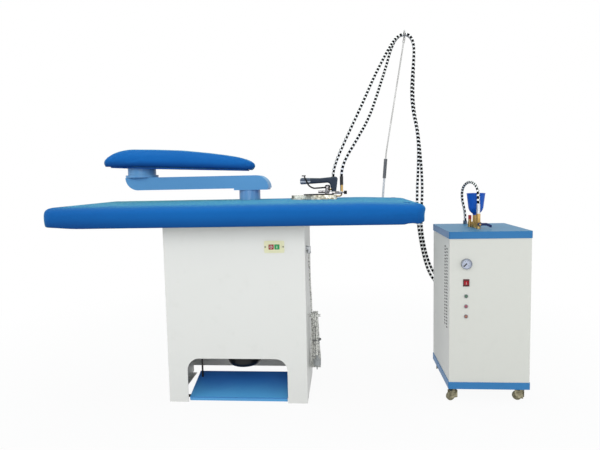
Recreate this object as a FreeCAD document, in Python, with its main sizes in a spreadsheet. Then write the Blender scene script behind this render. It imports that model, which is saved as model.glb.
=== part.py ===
"""Steam ironing table: vacuum table, swing-arm sleeve board, hose pole, all-steam iron and boiler.

One shared frame in millimetres, +Z up, floor at z = 0. Each sub-part is a labelled object of the
document, driven by the spreadsheet of sizes, and is written to parts/LABEL.step.
"""
import FreeCAD, Part
import Sketcher
import math
import os
import re

V = FreeCAD.Vector
X_AXIS = V(1, 0, 0)
Y_AXIS = V(0, 1, 0)
Z_AXIS = V(0, 0, 1)

doc = FreeCAD.newDocument("steam_ironing_table")
sheet = doc.addObject("Spreadsheet::Sheet", "sizes")

# Driving sizes in millimetres and degrees; a value that starts with "=" follows the others.
SIZES = [
    # where the units stand
    ("table_x", -219), ("cabinet_y", -80), ("board_y", -19), ("boiler_x", 668), ("boiler_y", -226),
    # table cabinet
    ("cabinet_width", 596), ("cabinet_depth", 360), ("cabinet_height", 770), ("sheet_gauge", 2),
    ("flange_width", 25), ("arch_width", 430), ("arch_height", 192), ("arch_radius", 52),
    ("back_clearance", 30), ("cabinet_front", "=cabinet_y - cabinet_depth / 2"),
    ("cabinet_back", "=cabinet_y + cabinet_depth / 2"), ("cabinet_left", "=table_x - cabinet_width / 2"),
    ("cabinet_right", "=table_x + cabinet_width / 2"),
    # board
    ("board_length", 1562), ("board_width", 680), ("board_corner", 60), ("tray_height", 54),
    ("tray_inset", 8), ("plate_gauge", 2), ("pad_height", 22), ("cloth", 2), ("cloth_turn", 42),
    ("plate_low", "=cabinet_height + tray_height"), ("plate_top", "=plate_low + plate_gauge"),
    ("board_top", "=plate_top + pad_height + cloth"),
    # vacuum unit
    ("duct_radius", 78), ("fan_radius", 165), ("fan_low", 300), ("fan_height", 100),
    ("motor_radius", 76), ("motor_low", 110), ("damper_drop", 110), ("crank_length", 38),
    ("link_offset", 190), ("link_radius", 4), ("guide_height", 430),
    ("fan_top", "=fan_low + fan_height"), ("damper_z", "=cabinet_height - damper_drop"),
    ("link_x", "=table_x - link_offset"), ("link_y", "=cabinet_y - crank_length"),
    # pedal
    ("pedal_width", 424), ("pedal_depth", 160), ("pedal_tilt", 15), ("pedal_setback", 33),
    ("pedal_z", 14), ("shaft_radius", 6), ("pedal_y", "=cabinet_front + pedal_setback"),
    # switch
    ("switch_offset", 172), ("switch_drop", 101), ("switch_z", "=cabinet_height - switch_drop"),
    ("button_size", 20.4), ("button_spacing", 24.5),
    # swing arm and sleeve board
    ("arm_setback", 189), ("pedestal_radius", 52), ("pedestal_rise", 48), ("arm_flange", 8.5),
    ("arm_height", 62), ("arm_width", 110), ("arm_reach", 543), ("arm_tip", 65), ("arm_tail", 102),
    ("arm_bore", 46), ("sleeve_bore", 46), ("post_radius", 68), ("post_height", 48),
    ("sleeve_plate", 6), ("sleeve_droop", 2.4), ("sleeve_nose", 572), ("sleeve_butt", 170),
    ("arm_y", "=board_y + arm_setback"), ("arm_low", "=board_top + pedestal_rise + 0.3"),
    ("arm_top", "=arm_low + arm_flange + arm_height"), ("post_x", "=table_x - arm_reach"),
    ("post_low", "=arm_top + 0.3"), ("sleeve_low", "=post_low + post_height + sleeve_plate - 3.2"),
    # hose pole
    ("pole_offset", 655), ("pole_drop", 55), ("pole_lean", 4.5), ("socket_radius", 13),
    ("pole_radius", 5.5), ("spring_radius", 8.5), ("rod_radius", 3.5), ("rod_height", 1660),
    ("ring_radius", 18.5), ("ring_wire", 2.5), ("ring_lead", 122),
    ("pole_low", "=cabinet_height - pole_drop"), ("pole_x", "=table_x + pole_offset"),
    ("pole_y", "=board_y + board_width / 2 + socket_radius + 4"),
    ("ring_x", "=pole_x + ring_lead"),
    # iron
    ("iron_offset", 423), ("iron_setback", 89), ("iron_length", 211), ("iron_half", 58),
    ("iron_heel", 9), ("handle_width", 32),
    ("iron_x", "=table_x + iron_offset"), ("iron_y", "=board_y + iron_setback"),
    # hoses and mains lead
    ("hose_diameter", 13.5), ("breather_diameter", 12), ("lead_diameter", 7), ("gland_setback", 106),
    ("gland_drop", 122), ("gland_z", "=cabinet_height - gland_drop"), ("hank_low", 92), ("hank_high", 352),
    ("hank_half", 24), ("hank_nest", 6.6),
    ("hank_waist", 11), ("hank_pitch", 7.75), ("gland_y", "=cabinet_front + gland_setback"),
    ("hank_y", "=cabinet_y"),
    # boiler
    ("boiler_width", 332), ("boiler_depth", 375), ("boiler_low", 57), ("boiler_height", 661),
    ("band", 29), ("panel_inset", 3), ("gauge_offset", 70), ("gauge_z", 586), ("rocker_z", 507),
    ("lamp_z", 451), ("lamp_pitch", 42.5), ("wheel_radius", 19), ("caster_inset", 28),
    ("caster_trail", 16), ("vessel_radius", 110), ("vessel_wall", 4), ("vessel_headroom", 172),
    ("vent_pitch", 13.4), ("valve_rise", 55), ("funnel_radius", 38.5),
    ("vessel_height", "=boiler_height - vessel_headroom"),
    ("boiler_top", "=boiler_low + boiler_height"), ("boiler_back", "=boiler_y + boiler_depth"),
    ("panel_face", "=boiler_y + panel_inset"), ("gauge_x", "=boiler_x + gauge_offset"),
    ("funnel_x", "=boiler_x + 151"), ("funnel_y", "=boiler_y + 181"),
    ("tap_x", "=boiler_x + 147"), ("tap_y", "=boiler_y + 123"),
    ("breather_x", "=boiler_x + 146"), ("breather_y", "=boiler_y + 354"),
    ("outlet_z", 262), ("outlet_y", "=boiler_back - panel_inset + 39"),
]

for row, (alias, value) in enumerate(SIZES, 1):
    sheet.set("A%d" % row, alias)
    sheet.set("B%d" % row, str(value))
    sheet.setAlias("B%d" % row, alias)
doc.recompute()

ALIAS = re.compile(r"\b(%s)\b" % "|".join(alias for alias, value in SIZES))


def linked(text):
    """The expression with each size named through the sheet."""
    return ALIAS.sub(r"sizes.\1", str(text))


def mm(text):
    """The present value of an expression in the sheet's sizes."""
    return float(sheet.evalExpression(linked(text)))


def bind(obj, prop, text):
    obj.setExpression(prop, linked(text))


def place(obj, x=0, y=0, z=0):
    bind(obj, "Placement.Base.x", x)
    bind(obj, "Placement.Base.y", y)
    bind(obj, "Placement.Base.z", z)
    return obj


def turned(obj, axis, angle):
    """Turn an object about an axis through its own origin; call before place()."""
    obj.Placement = FreeCAD.Placement(V(0, 0, 0), FreeCAD.Rotation(axis, 1))
    bind(obj, "Placement.Rotation.Angle", angle)
    return obj


# Primitives and booleans
def block(name, dx, dy, dz, x, y, z):
    """A box with its lowest corner at x, y, z."""
    made = doc.addObject("Part::Box", name)
    bind(made, "Length", dx)
    bind(made, "Width", dy)
    bind(made, "Height", dz)
    return place(made, x, y, z)


def rod(name, radius, length, x, y, z, along="Z", lean=None):
    """A cylinder that starts at x, y, z and runs along an axis, or leans from Z towards X."""
    made = doc.addObject("Part::Cylinder", name)
    bind(made, "Radius", radius)
    bind(made, "Height", length)
    if along == "X":
        turned(made, Y_AXIS, 90)
    elif along == "Y":
        turned(made, X_AXIS, -90)
    elif lean is not None:
        turned(made, Y_AXIS, lean)
    return place(made, x, y, z)


def hexagon(name, radius, length, x, y, z):
    made = doc.addObject("Part::Prism", name)
    made.Polygon = 6
    bind(made, "Circumradius", radius)
    bind(made, "Height", length)
    return place(made, x, y, z)


def fuse(name, *shapes):
    made = doc.addObject("Part::MultiFuse", name)
    made.Shapes = list(shapes)
    return made


def cut(name, base, *tools):
    made = doc.addObject("Part::Cut", name)
    made.Base = base
    made.Tool = tools[0] if len(tools) == 1 else fuse(name + "_tools", *tools)
    return made


def group(name, *shapes):
    """Several solids that belong to one sub-part."""
    made = doc.addObject("Part::Compound", name)
    made.Links = list(shapes)
    return made


# Bodies with sketches
def body(label, x=0, y=0, z=0, axis=None, angle=0):
    made = doc.addObject("PartDesign::Body", label)
    if axis is not None:
        turned(made, axis, angle)
    return place(made, x, y, z)


def draw(owner, plane, level=0):
    """A sketch on one of the body's origin planes, moved along its normal."""
    sketch = owner.newObject("Sketcher::SketchObject", owner.Label + "_sketch")
    support = [f for f in owner.Origin.OriginFeatures if f.Role == plane + "_Plane"][0]
    sketch.AttachmentSupport = (support, "")
    sketch.MapMode = "FlatFace"
    bind(sketch, "AttachmentOffset.Base.z", level)
    return sketch


def hold(sketch, geometry, point, x, y):
    """Dimension one point from the sketch origin."""
    for kind, text in (("DistanceX", x), ("DistanceY", y)):
        index = sketch.addConstraint(Sketcher.Constraint(kind, -1, 1, geometry, point, mm(text)))
        bind(sketch, "Constraints[%d]" % index, text)


def outline(sketch, corners):
    """A closed profile. A corner (x, y) is reached by a line and a corner (x, y, radius, turn) by
    an arc that turns left (1) or right (-1)."""
    places = [V(mm(c[0]), mm(c[1]), 0) for c in corners]
    ends = []
    for i, corner in enumerate(corners):
        start, end = places[i - 1], places[i]
        if len(corner) == 2:
            ends.append((sketch.addGeometry(Part.LineSegment(start, end)), 1, 2))
            continue
        radius, turn = mm(corner[2]), corner[3]
        chord = end - start
        reach = math.sqrt(max(radius ** 2 - (chord.Length / 2) ** 2, 0))
        left = V(-chord.y, chord.x, 0) / chord.Length
        centre = (start + end) / 2 + left * reach * turn
        angles = [math.atan2(p.y - centre.y, p.x - centre.x) for p in (start, end)]
        first, last = angles if turn > 0 else angles[::-1]
        if last < first:
            last += 2 * math.pi
        arc = sketch.addGeometry(Part.ArcOfCircle(Part.Circle(centre, Z_AXIS, radius), first, last))
        ends.append((arc, 1, 2) if turn > 0 else (arc, 2, 1))
        index = sketch.addConstraint(Sketcher.Constraint("Radius", arc, radius))
        bind(sketch, "Constraints[%d]" % index, corner[2])
    for i, (geometry, start, end) in enumerate(ends):
        following = ends[(i + 1) % len(ends)]
        sketch.addConstraint(Sketcher.Constraint("Coincident", geometry, end, following[0], following[1]))
        hold(sketch, geometry, end, corners[i][0], corners[i][1])
    return sketch


def circle(sketch, radius, x=0, y=0):
    made = sketch.addGeometry(Part.Circle(V(mm(x), mm(y), 0), Z_AXIS, mm(radius)))
    index = sketch.addConstraint(Sketcher.Constraint("Radius", made, mm(radius)))
    bind(sketch, "Constraints[%d]" % index, radius)
    hold(sketch, made, 3, x, y)
    return sketch


def rectangle(sketch, half_x, half_y, x=0, y=0):
    corners = [(-1, -1), (1, -1), (1, 1), (-1, 1)]
    return outline(sketch, [("%s + %d * (%s)" % (x, i, half_x), "%s + %d * (%s)" % (y, j, half_y))
                            for i, j in corners])


def rounded(sketch, half_x, half_y, radius):
    """A rectangle about the sketch origin with round corners."""
    x, y, r = "(%s)" % half_x, "(%s)" % half_y, "(%s)" % radius
    return outline(sketch, [
        ("%s - %s" % (x, r), "-" + y), (x, "%s - %s" % (r, y), radius, 1),
        (x, "%s - %s" % (y, r)), ("%s - %s" % (x, r), y, radius, 1),
        ("%s - %s" % (r, x), y), ("-" + x, "%s - %s" % (y, r), radius, 1),
        ("-" + x, "%s - %s" % (r, y)), ("%s - %s" % (r, x), "-" + y, radius, 1)])


def pad(owner, sketch, length, reverse=False, both=False):
    made = owner.newObject("PartDesign::Pad", owner.Label + "_pad")
    made.Profile = sketch
    bind(made, "Length", length)
    made.Reversed = reverse
    made.Midplane = both
    return made


def pocket(owner, sketch, depth=None, reverse=False):
    """Cut a sketch to a depth, or through the whole body when there is no depth."""
    made = owner.newObject("PartDesign::Pocket", owner.Label + "_pocket")
    made.Profile = sketch
    if depth is None:
        made.Type = "ThroughAll"
        made.Midplane = True
    else:
        bind(made, "Length", depth)
        made.Reversed = reverse
    return made


def revolve(owner, sketch, axis="V_Axis"):
    made = owner.newObject("PartDesign::Revolution", owner.Label + "_turn")
    made.Profile = sketch
    made.ReferenceAxis = (sketch, [axis])
    made.Angle = 360
    return made


def fillet(owner, feature, radius, chosen):
    """Round the edges of a feature that a test picks."""
    doc.recompute()
    names = ["Edge%d" % (i + 1) for i, edge in enumerate(feature.Shape.Edges) if chosen(edge)]
    made = owner.newObject("PartDesign::Fillet", owner.Label + "_round")
    made.Base = (feature, names)
    bind(made, "Radius", radius)
    owner.Tip = made
    return made


def row_of(owner, feature, axis, length, count):
    made = owner.newObject("PartDesign::LinearPattern", owner.Label + "_row")
    made.Originals = [feature]
    made.Direction = (feature.Profile[0], [axis])
    bind(made, "Length", length)
    made.Occurrences = count
    owner.Tip = made
    return made


def ring_of(owner, feature, count):
    made = owner.newObject("PartDesign::PolarPattern", owner.Label + "_ring")
    made.Originals = [feature]
    made.Axis = (feature.Profile[0], ["N_Axis"])
    made.Angle = 360
    made.Occurrences = count
    owner.Tip = made
    return made


# Freeform shapes: lofts and tubes
def shape(label, solid):
    made = doc.addObject("Part::Feature", label)
    made.Shape = solid
    return made


def round_wire(half_x, half_y, radius, z):
    """A level rectangle with round corners, as a wire about the origin."""
    edges = []
    here = V(half_x - radius, -half_y, z)
    for i, (sx, sy) in enumerate([(1, -1), (1, 1), (-1, 1), (-1, -1)]):
        centre = V(sx * (half_x - radius), sy * (half_y - radius), z)
        start = centre + FreeCAD.Rotation(Z_AXIS, 90 * i).multVec(V(0, -radius, 0))
        middle = centre + FreeCAD.Rotation(Z_AXIS, 90 * i + 45).multVec(V(0, -radius, 0))
        end = centre + FreeCAD.Rotation(Z_AXIS, 90 * i + 90).multVec(V(0, -radius, 0))
        if (start - here).Length > 1e-6:
            edges.append(Part.makeLine(here, start))
        edges.append(Part.Arc(start, middle, end).toShape())
        here = end
    edges.append(Part.makeLine(here, edges[0].Vertexes[0].Point))
    return Part.Wire(edges)


def sweep(edges, radius):
    """A round tube along a chain of edges."""
    path = Part.Wire(edges)
    first = edges[0]
    section = Part.makeCircle(radius, first.valueAt(first.FirstParameter),
                              first.tangentAt(first.FirstParameter))
    pipe = Part.BRepOffsetAPI.MakePipeShell(path)
    pipe.add(Part.Wire([section]))
    pipe.build()
    pipe.makeSolid()
    return pipe.shape()


def route(points):
    """Straight runs joined by tangent arcs; returns the edges and the arc radii."""
    edges, radii, here = [], [], points[0]
    for before, corner, after in zip(points, points[1:], points[2:]):
        come, go = corner - before, after - corner
        setback = 0.45 * min(come.Length, go.Length)
        half_turn = come.getAngle(go) / 2
        radius = setback / math.tan(half_turn)
        radii.append(radius)
        start = corner - V(come).normalize() * setback
        end = corner + V(go).normalize() * setback
        inward = V(go).normalize() - V(come).normalize()
        middle = corner + inward.normalize() * (radius / math.cos(half_turn) - radius)
        edges.append(Part.makeLine(here, start))
        edges.append(Part.Arc(start, middle, end).toShape())
        here = end
    edges.append(Part.makeLine(here, points[-1]))
    return edges, radii


def cord(label, diameter, points):
    """A cord solid with its bends checked against its own section."""
    edges, radii = route(points)
    solid = sweep(edges, diameter / 2)
    length = sum(edge.Length for edge in edges)
    share = solid.Volume / (math.pi * diameter ** 2 / 4 * length)
    print("%s: length %.0f, bends %s, volume share %.4f" % (
        label, length, " ".join("%.0f" % radius for radius in radii), share))
    return shape(label, solid)


def bent_rod(radius, points):
    return sweep(route(points)[0], radius)


# Table cabinet
front = body("cabinet_front_panel", "table_x", "cabinet_front")
front_half, gauge, lip = "cabinet_width / 2", "sheet_gauge", "flange_width"
front_plan = outline(draw(front, "XY"), [
    ("-" + front_half, 0), (front_half, 0), (front_half, gauge), (front_half + " - sheet_gauge", gauge),
    (front_half + " - sheet_gauge", lip), (front_half + " - 2 * sheet_gauge", lip),
    (front_half + " - 2 * sheet_gauge", gauge), ("2 * sheet_gauge - " + front_half, gauge),
    ("2 * sheet_gauge - " + front_half, lip), ("sheet_gauge - " + front_half, lip),
    ("sheet_gauge - " + front_half, gauge), ("-" + front_half, gauge)])
pad(front, front_plan, "cabinet_height")
arch = outline(draw(front, "XZ"), [
    ("-arch_width / 2", -1), ("arch_width / 2", -1), ("arch_width / 2", "arch_height - arch_radius"),
    ("arch_width / 2 - arch_radius", "arch_height", "arch_radius", 1),
    ("arch_radius - arch_width / 2", "arch_height"),
    ("-arch_width / 2", "arch_height - arch_radius", "arch_radius", 1)])
pocket(front, arch)
pocket(front, rectangle(draw(front, "XZ"), 28.5, 17.5, "switch_offset", "switch_z"))


def side_panel(name, wall_x, flange_x):
    """A folded side sheet with a foot flange and a top flange turned inwards."""
    run = "cabinet_depth - 2 * flange_width - 1"
    begin = "cabinet_front + flange_width + 1"
    width = "flange_width - sheet_gauge"
    return fuse(
        name,
        block(name + "_wall", gauge, "cabinet_depth - sheet_gauge", "cabinet_height",
              wall_x, "cabinet_front + sheet_gauge", 0),
        block(name + "_foot", width, run, gauge, flange_x, begin, 0),
        block(name + "_head", width, run, gauge, flange_x, begin, "cabinet_height - sheet_gauge"))


guide_reach = "link_x + 12 - cabinet_left - sheet_gauge"
guide = block("link_guide", guide_reach, 20, 12, "cabinet_left + sheet_gauge", "link_y - 10", "guide_height")
left_side = fuse("left_side", side_panel("left_sheet", "cabinet_left", "cabinet_left + sheet_gauge"), guide)
peg_z = "hank_high - hank_nest - lead_diameter - 6.3"
peg = rod("hank_peg", 6, 52, "cabinet_right", "hank_y", peg_z, "X")
right_sheet = side_panel("right_sheet", "cabinet_right - sheet_gauge", "cabinet_right - flange_width")
right_side = fuse("right_side", right_sheet, peg)
shaft_holes = rod("shaft_holes", "shaft_radius + 0.05", "cabinet_width + 2", "cabinet_left - 1",
                  "pedal_y", "pedal_z", "X")
guide_hole = rod("guide_hole", "link_radius + 0.05", 20, "link_x", "link_y", "guide_height - 4")
gland_hole = rod("gland_hole", 8.05, 6, "cabinet_right - 4", "gland_y", "gland_z", "X")
group("cabinet_side_panels",
      cut("left_side_cut", left_side, shaft_holes, guide_hole),
      cut("right_side_cut", right_side, shaft_holes, gland_hole))

back = body("cabinet_back_panel", "table_x", "cabinet_back")
back_half = "(cabinet_width / 2 - sheet_gauge)"
back_face = outline(draw(back, "XZ"), [
    ("-" + back_half, "back_clearance"), (back_half, "back_clearance"),
    (back_half, "cabinet_height"), ("-" + back_half, "cabinet_height")])
pad(back, back_face, gauge)
slot = pocket(back, rectangle(draw(back, "XZ"), 48, 3.5, 100, "fan_low + 12"))
row_of(back, slot, "V_Axis", "fan_height - 24", 7)

# Pedal, shaft and pull link
pedal = body("pedal_plate", "table_x", "pedal_y", "pedal_z", X_AXIS, "pedal_tilt")
pad(pedal, outline(draw(pedal, "YZ"), [
    (-23, -6), (-20, -6), (-20, 8), ("pedal_depth", 8), ("pedal_depth", -4), ("pedal_depth + 3", -4),
    ("pedal_depth + 3", 11), (-23, 11)]), "pedal_width", both=True)
for knuckle_x in ("-pedal_width / 2 + 40", "pedal_width / 2 - 70"):
    pad(pedal, circle(circle(draw(pedal, "YZ", knuckle_x), "shaft_radius + 4"), "shaft_radius + 0.05"), 30)
pocket(pedal, circle(draw(pedal, "YZ"), "shaft_radius + 0.05"))
rod("pedal_shaft", "shaft_radius", "cabinet_width", "cabinet_left", "pedal_y", "pedal_z", "X")
link_low = "(pedal_z + (link_y - pedal_y) * tan(pedal_tilt) + 11 / cos(pedal_tilt) + 2)"
rod("pedal_link", "link_radius", "damper_z - 5 - " + link_low, "link_x", "link_y", link_low)

# Start and stop switch
switch = body("start_stop_switch", "table_x + switch_offset", "cabinet_front", "switch_z")
pad(switch, rounded(draw(switch, "XZ"), 42, 25, 5), 3)
pad(switch, rounded(draw(switch, "XZ", 3), 30, 19, 3), 4)
pad(switch, rectangle(draw(switch, "XZ"), 28, 17), 32, reverse=True)
for side in (-1, 1):
    well = rectangle(draw(switch, "XZ", 7), "button_size / 2 + 0.3", "button_size / 2 + 0.3",
                     "%d * button_spacing / 2" % side)
    pocket(switch, well, 25)
for label, side in (("stop_button", -1), ("start_button", 1)):
    button = body(label, "table_x + switch_offset + %d * button_spacing / 2" % side, "cabinet_front",
                  "switch_z")
    face = rectangle(draw(button, "XZ", 10), "button_size / 2", "button_size / 2")
    key = pad(button, face, 16, reverse=True)
    fillet(button, key, 1.6, lambda edge: edge.BoundBox.YMax < -9.9)

# Vacuum unit
drum_x = "table_x - 10"
casing = fuse(
    "fan_casing",
    rod("fan_drum", "fan_radius", "fan_height", drum_x, "cabinet_y", "fan_low"),
    block("fan_outlet", 120, "cabinet_depth / 2 - sheet_gauge", "fan_height", "table_x + 40", "cabinet_y",
          "fan_low"))
cut("fan_housing", casing,
    rod("fan_room", "fan_radius - 2", "fan_height - 4", drum_x, "cabinet_y", "fan_low + 2"),
    block("fan_blow", 116, "cabinet_depth / 2", "fan_height - 4", "table_x + 42", "cabinet_y",
          "fan_low + 2"),
    rod("fan_inlet", "duct_radius - 8", 10, "table_x", "cabinet_y", "fan_top - 5"),
    rod("fan_shaft_hole", 10, 10, "table_x", "cabinet_y", "fan_low - 5"))

motor = body("fan_motor", "table_x", "cabinet_y")
revolve(motor, outline(draw(motor, "XZ"), [
    (0, "motor_low"), ("motor_radius - 24", "motor_low"), ("motor_radius", "motor_low + 24", 24, 1),
    ("motor_radius", "fan_low - 12"), (90, "fan_low - 12"), (90, "fan_low"), (8, "fan_low"),
    (8, "fan_top - 25"), (0, "fan_top - 25")]))

fan = body("fan_impeller", "table_x", "cabinet_y", "fan_low + 14")
pad(fan, circle(circle(draw(fan, "XY"), 125), 8.05), 3)
pad(fan, circle(circle(draw(fan, "XY"), 22), 8.05), 34)
blade = pad(fan, outline(draw(fan, "XY"), [
    (70, -1.5), (112, 34, 70, 1), (109.5, 36.5), (70, 1.5, 67, -1)]), 50)
ring_of(fan, blade, 10)
pad(fan, circle(circle(draw(fan, "XY", 50), 125), 76), 3)

duct = fuse(
    "duct_outer",
    rod("duct_wall", "duct_radius + 2", "cabinet_height - fan_top", "table_x", "cabinet_y", "fan_top"),
    rod("duct_head", "duct_radius + 22", 3, "table_x", "cabinet_y", "cabinet_height - 3"),
    rod("duct_foot", "duct_radius + 17", 3, "table_x", "cabinet_y", "fan_top"))
cut("suction_duct", duct,
    rod("duct_bore", "duct_radius", "cabinet_height", "table_x", "cabinet_y", "fan_top - 1"),
    rod("damper_holes", 4.05, "2 * duct_radius + 40", "table_x - duct_radius - 20", "cabinet_y", "damper_z",
        "X"))
fuse("suction_damper",
     rod("damper_disc", "duct_radius - 3", 3, "table_x", "cabinet_y", "damper_z - 1.5"),
     rod("damper_shaft", 4, "link_offset + duct_radius + 17", "link_x - 5", "cabinet_y", "damper_z", "X"),
     block("damper_crank", 10, "crank_length + 14", 8, "link_x - 5", "link_y - 7", "damper_z - 4"))

# Board: tray, slotted plate, pad and cover
tray_half_x, tray_half_y = "board_length / 2 - tray_inset", "board_width / 2 - tray_inset"
tray_corner = "board_corner - tray_inset"
tray = body("board_tray", "table_x", "board_y", "cabinet_height")
pad(tray, rounded(draw(tray, "XY"), tray_half_x, tray_half_y, tray_corner), "tray_height")
tray_inside = rounded(draw(tray, "XY", "tray_height"), tray_half_x + " - sheet_gauge",
                      tray_half_y + " - sheet_gauge", tray_corner + " - sheet_gauge")
pocket(tray, tray_inside, "tray_height - sheet_gauge")
pocket(tray, circle(draw(tray, "XY"), "duct_radius", 0, "cabinet_y - board_y"))

plate = body("board_suction_plate", "table_x", "board_y", "plate_low")
pad(plate, rounded(draw(plate, "XY"), tray_half_x, tray_half_y, tray_corner), "plate_gauge")
groove = pocket(plate, rectangle(draw(plate, "XY"), 4, "board_width / 2 - 60", "70 - board_length / 2"))
row_of(plate, groove, "H_Axis", "board_length - 140", 14)

felt = body("board_pad", "table_x", "board_y", "plate_top")
felt_pad = pad(felt, rounded(draw(felt, "XY"), tray_half_x, tray_half_y, tray_corner), "pad_height")
fillet(felt, felt_pad, 12, lambda edge: edge.BoundBox.ZMin > mm("pad_height") - 0.1)
pocket(felt, circle(draw(felt, "XY"), 77, 0, "arm_setback"))


def board_loft(levels):
    """A ruled loft of the board outline through pairs of height and inset."""
    wires = [round_wire(mm("board_length") / 2 - inset, mm("board_width") / 2 - inset,
                        mm("board_corner") - inset, z) for z, inset in levels]
    return Part.makeLoft(wires, True, True)


hem, top, inset = mm("cabinet_height"), mm("board_top"), mm("tray_inset")
skin = mm("cloth")
cover_outside = board_loft([(hem - skin, 8.5), (hem + 3, 3.5), (hem + 22, 4.5), (hem + 46, 3), (top - 14, 0),
                            (top - 5, 3), (top - 2, 6), (top, 13)])
cover_inside = board_loft([(hem, inset - 0.3), (top - skin - 9, inset - 0.3), (top - skin - 3, inset + 1.6),
                           (top - skin, inset + 8.5)])
turn_under = mm("cloth_turn")
cover_mouth = board_loft([(hem - 5, turn_under), (hem + 1, turn_under)])
cover_hole = Part.makeCylinder(mm("pedestal_radius") + 1, 20, V(0, mm("arm_setback"), top - 10))
cover = shape("board_cover", cover_outside.cut(cover_inside.fuse(cover_mouth)).cut(cover_hole))
place(cover, "table_x", "board_y")

# Swing arm and sleeve board
pedestal = body("arm_pedestal", "table_x", "arm_y", "plate_top")
rise = "pad_height + cloth + pedestal_rise"
revolve(pedestal, outline(draw(pedestal, "XZ"), [
    ("arm_bore - 2", 0), (75, 0), (75, 8), ("pedestal_radius", 8), ("pedestal_radius", rise),
    ("arm_bore - 0.06", rise), ("arm_bore - 0.06", rise + " + 18"), ("arm_bore - 2", rise + " + 18")]))

arm = body("swing_arm", "table_x", "arm_y", "arm_low")
arm_roof = "arm_flange + arm_height"
arm_end = "-arm_reach - arm_tip"
pad(arm, outline(draw(arm, "XZ"), [
    (-68, 0), ("arm_tail - 6", 0), ("arm_tail - 6", "arm_flange"), ("arm_tail", "arm_flange"),
    ("arm_tail - arm_height", arm_roof, "arm_height", 1), (arm_end, arm_roof),
    (arm_end + " + arm_height", "arm_flange", "arm_height", 1), (-68, "arm_flange")]),
    "arm_width", both=True)
hollow = pocket(arm, outline(draw(arm, "XZ", "-arm_width / 2 + 3"), [
    (arm_end + " + arm_height + 8", "arm_flange + 3"), ("arm_tail - 8", "arm_flange + 3"),
    ("arm_tail - arm_height + 14", arm_roof + " - 3"), (arm_end + " + 17", arm_roof + " - 3")]),
    "arm_width - 6", reverse=True)
pocket(arm, circle(draw(arm, "XY"), "arm_bore"), "arm_flange + 8", reverse=True)
pocket(arm, circle(draw(arm, "XY", arm_roof), "sleeve_bore", "-arm_reach"), 8)

stand = body("sleeve_stand", "post_x", "arm_y", "post_low")
revolve(stand, outline(draw(stand, "XZ"), [
    ("sleeve_bore - 3", -3), ("sleeve_bore - 0.06", -3), ("sleeve_bore - 0.06", 0), ("post_radius + 11", 0),
    ("post_radius + 11", 12), ("post_radius", 12), ("post_radius", "post_height"),
    ("post_radius - 4", "post_height"), ("post_radius - 4", 6), ("sleeve_bore - 3", 6)]))
stand_top = draw(stand, "XY", "sleeve_low - post_low")
stand_top.AttachmentOffset = FreeCAD.Placement(V(0, 0, 0), FreeCAD.Rotation(Y_AXIS, 1))
bind(stand_top, "AttachmentOffset.Base.z", "sleeve_low - post_low")
bind(stand_top, "AttachmentOffset.Rotation.Angle", "sleeve_droop")
pad(stand, outline(stand_top, [
    (-92, -90, 88, 1), (180, -90), ("sleeve_nose - 84", -52), ("sleeve_nose - 28", 0, 54, 1),
    ("sleeve_nose - 84", 52, 54, 1), (180, 90), (-92, 90), ("22 - sleeve_butt", 0, 88, 1)]),
    "sleeve_plate", reverse=True)


def sleeve_section(x, half, height):
    """Flat bottom, rounded flanks and a crowned top at one place along the sleeve board."""
    shoulder = V(x, 0.62 * half, 0.9 * height)
    left_shoulder = V(x, -0.62 * half, 0.9 * height)
    flank = Part.Arc(V(x, half, 0), V(x, 0.965 * half, 0.52 * height), shoulder).toShape()
    crown = Part.Arc(shoulder, V(x, 0, height), left_shoulder).toShape()
    left_flank = Part.Arc(left_shoulder, V(x, -0.965 * half, 0.52 * height), V(x, -half, 0)).toShape()
    return Part.Wire([Part.makeLine(V(x, -half, 0), V(x, half, 0)), flank, crown, left_flank])


butt, nose = mm("sleeve_butt"), mm("sleeve_nose")
SLEEVE_FORM = [(0, 60, 38), (0.02, 84, 52), (0.06, 100, 66), (0.105, 109, 78), (0.17, 112, 84),
               (0.33, 112, 86), (0.52, 104, 84), (0.69, 91, 74.5), (0.8, 80, 66), (0.88, 70, 58),
               (0.94, 56, 48), (0.98, 38, 34), (1, 20, 20)]
sleeve_wires = [sleeve_section(share * (butt + nose) - butt, half, height)
                for share, half, height in SLEEVE_FORM]
sleeve = turned(shape("sleeve_pad", Part.makeLoft(sleeve_wires, True, False)), Y_AXIS, "sleeve_droop")
place(sleeve, "post_x", "arm_y", "sleeve_low")

# Hose pole
bracket_y = "board_y + board_width / 2 - 125"
fuse(
    "pole_socket",
    block("bracket_bar", 40, "pole_y - (" + bracket_y + ")", 8, "pole_x - 14", bracket_y,
          "cabinet_height - 12"),
    block("bracket_spacer", 40, 75, 4, "pole_x - 14", bracket_y, "cabinet_height - 4"),
    rod("socket_tube", "socket_radius", 110, "pole_x", "pole_y", "pole_low", lean="pole_lean"),
    rod("pole_tube", "pole_radius", 275, "pole_x", "pole_y", "pole_low", lean="pole_lean"))


def on_pole(distance):
    """Where the leaning pole's axis is at a distance from its foot."""
    return ("pole_x + (%s) * sin(pole_lean)" % distance, "pole_y",
            "pole_low + (%s) * cos(pole_lean)" % distance)


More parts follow.
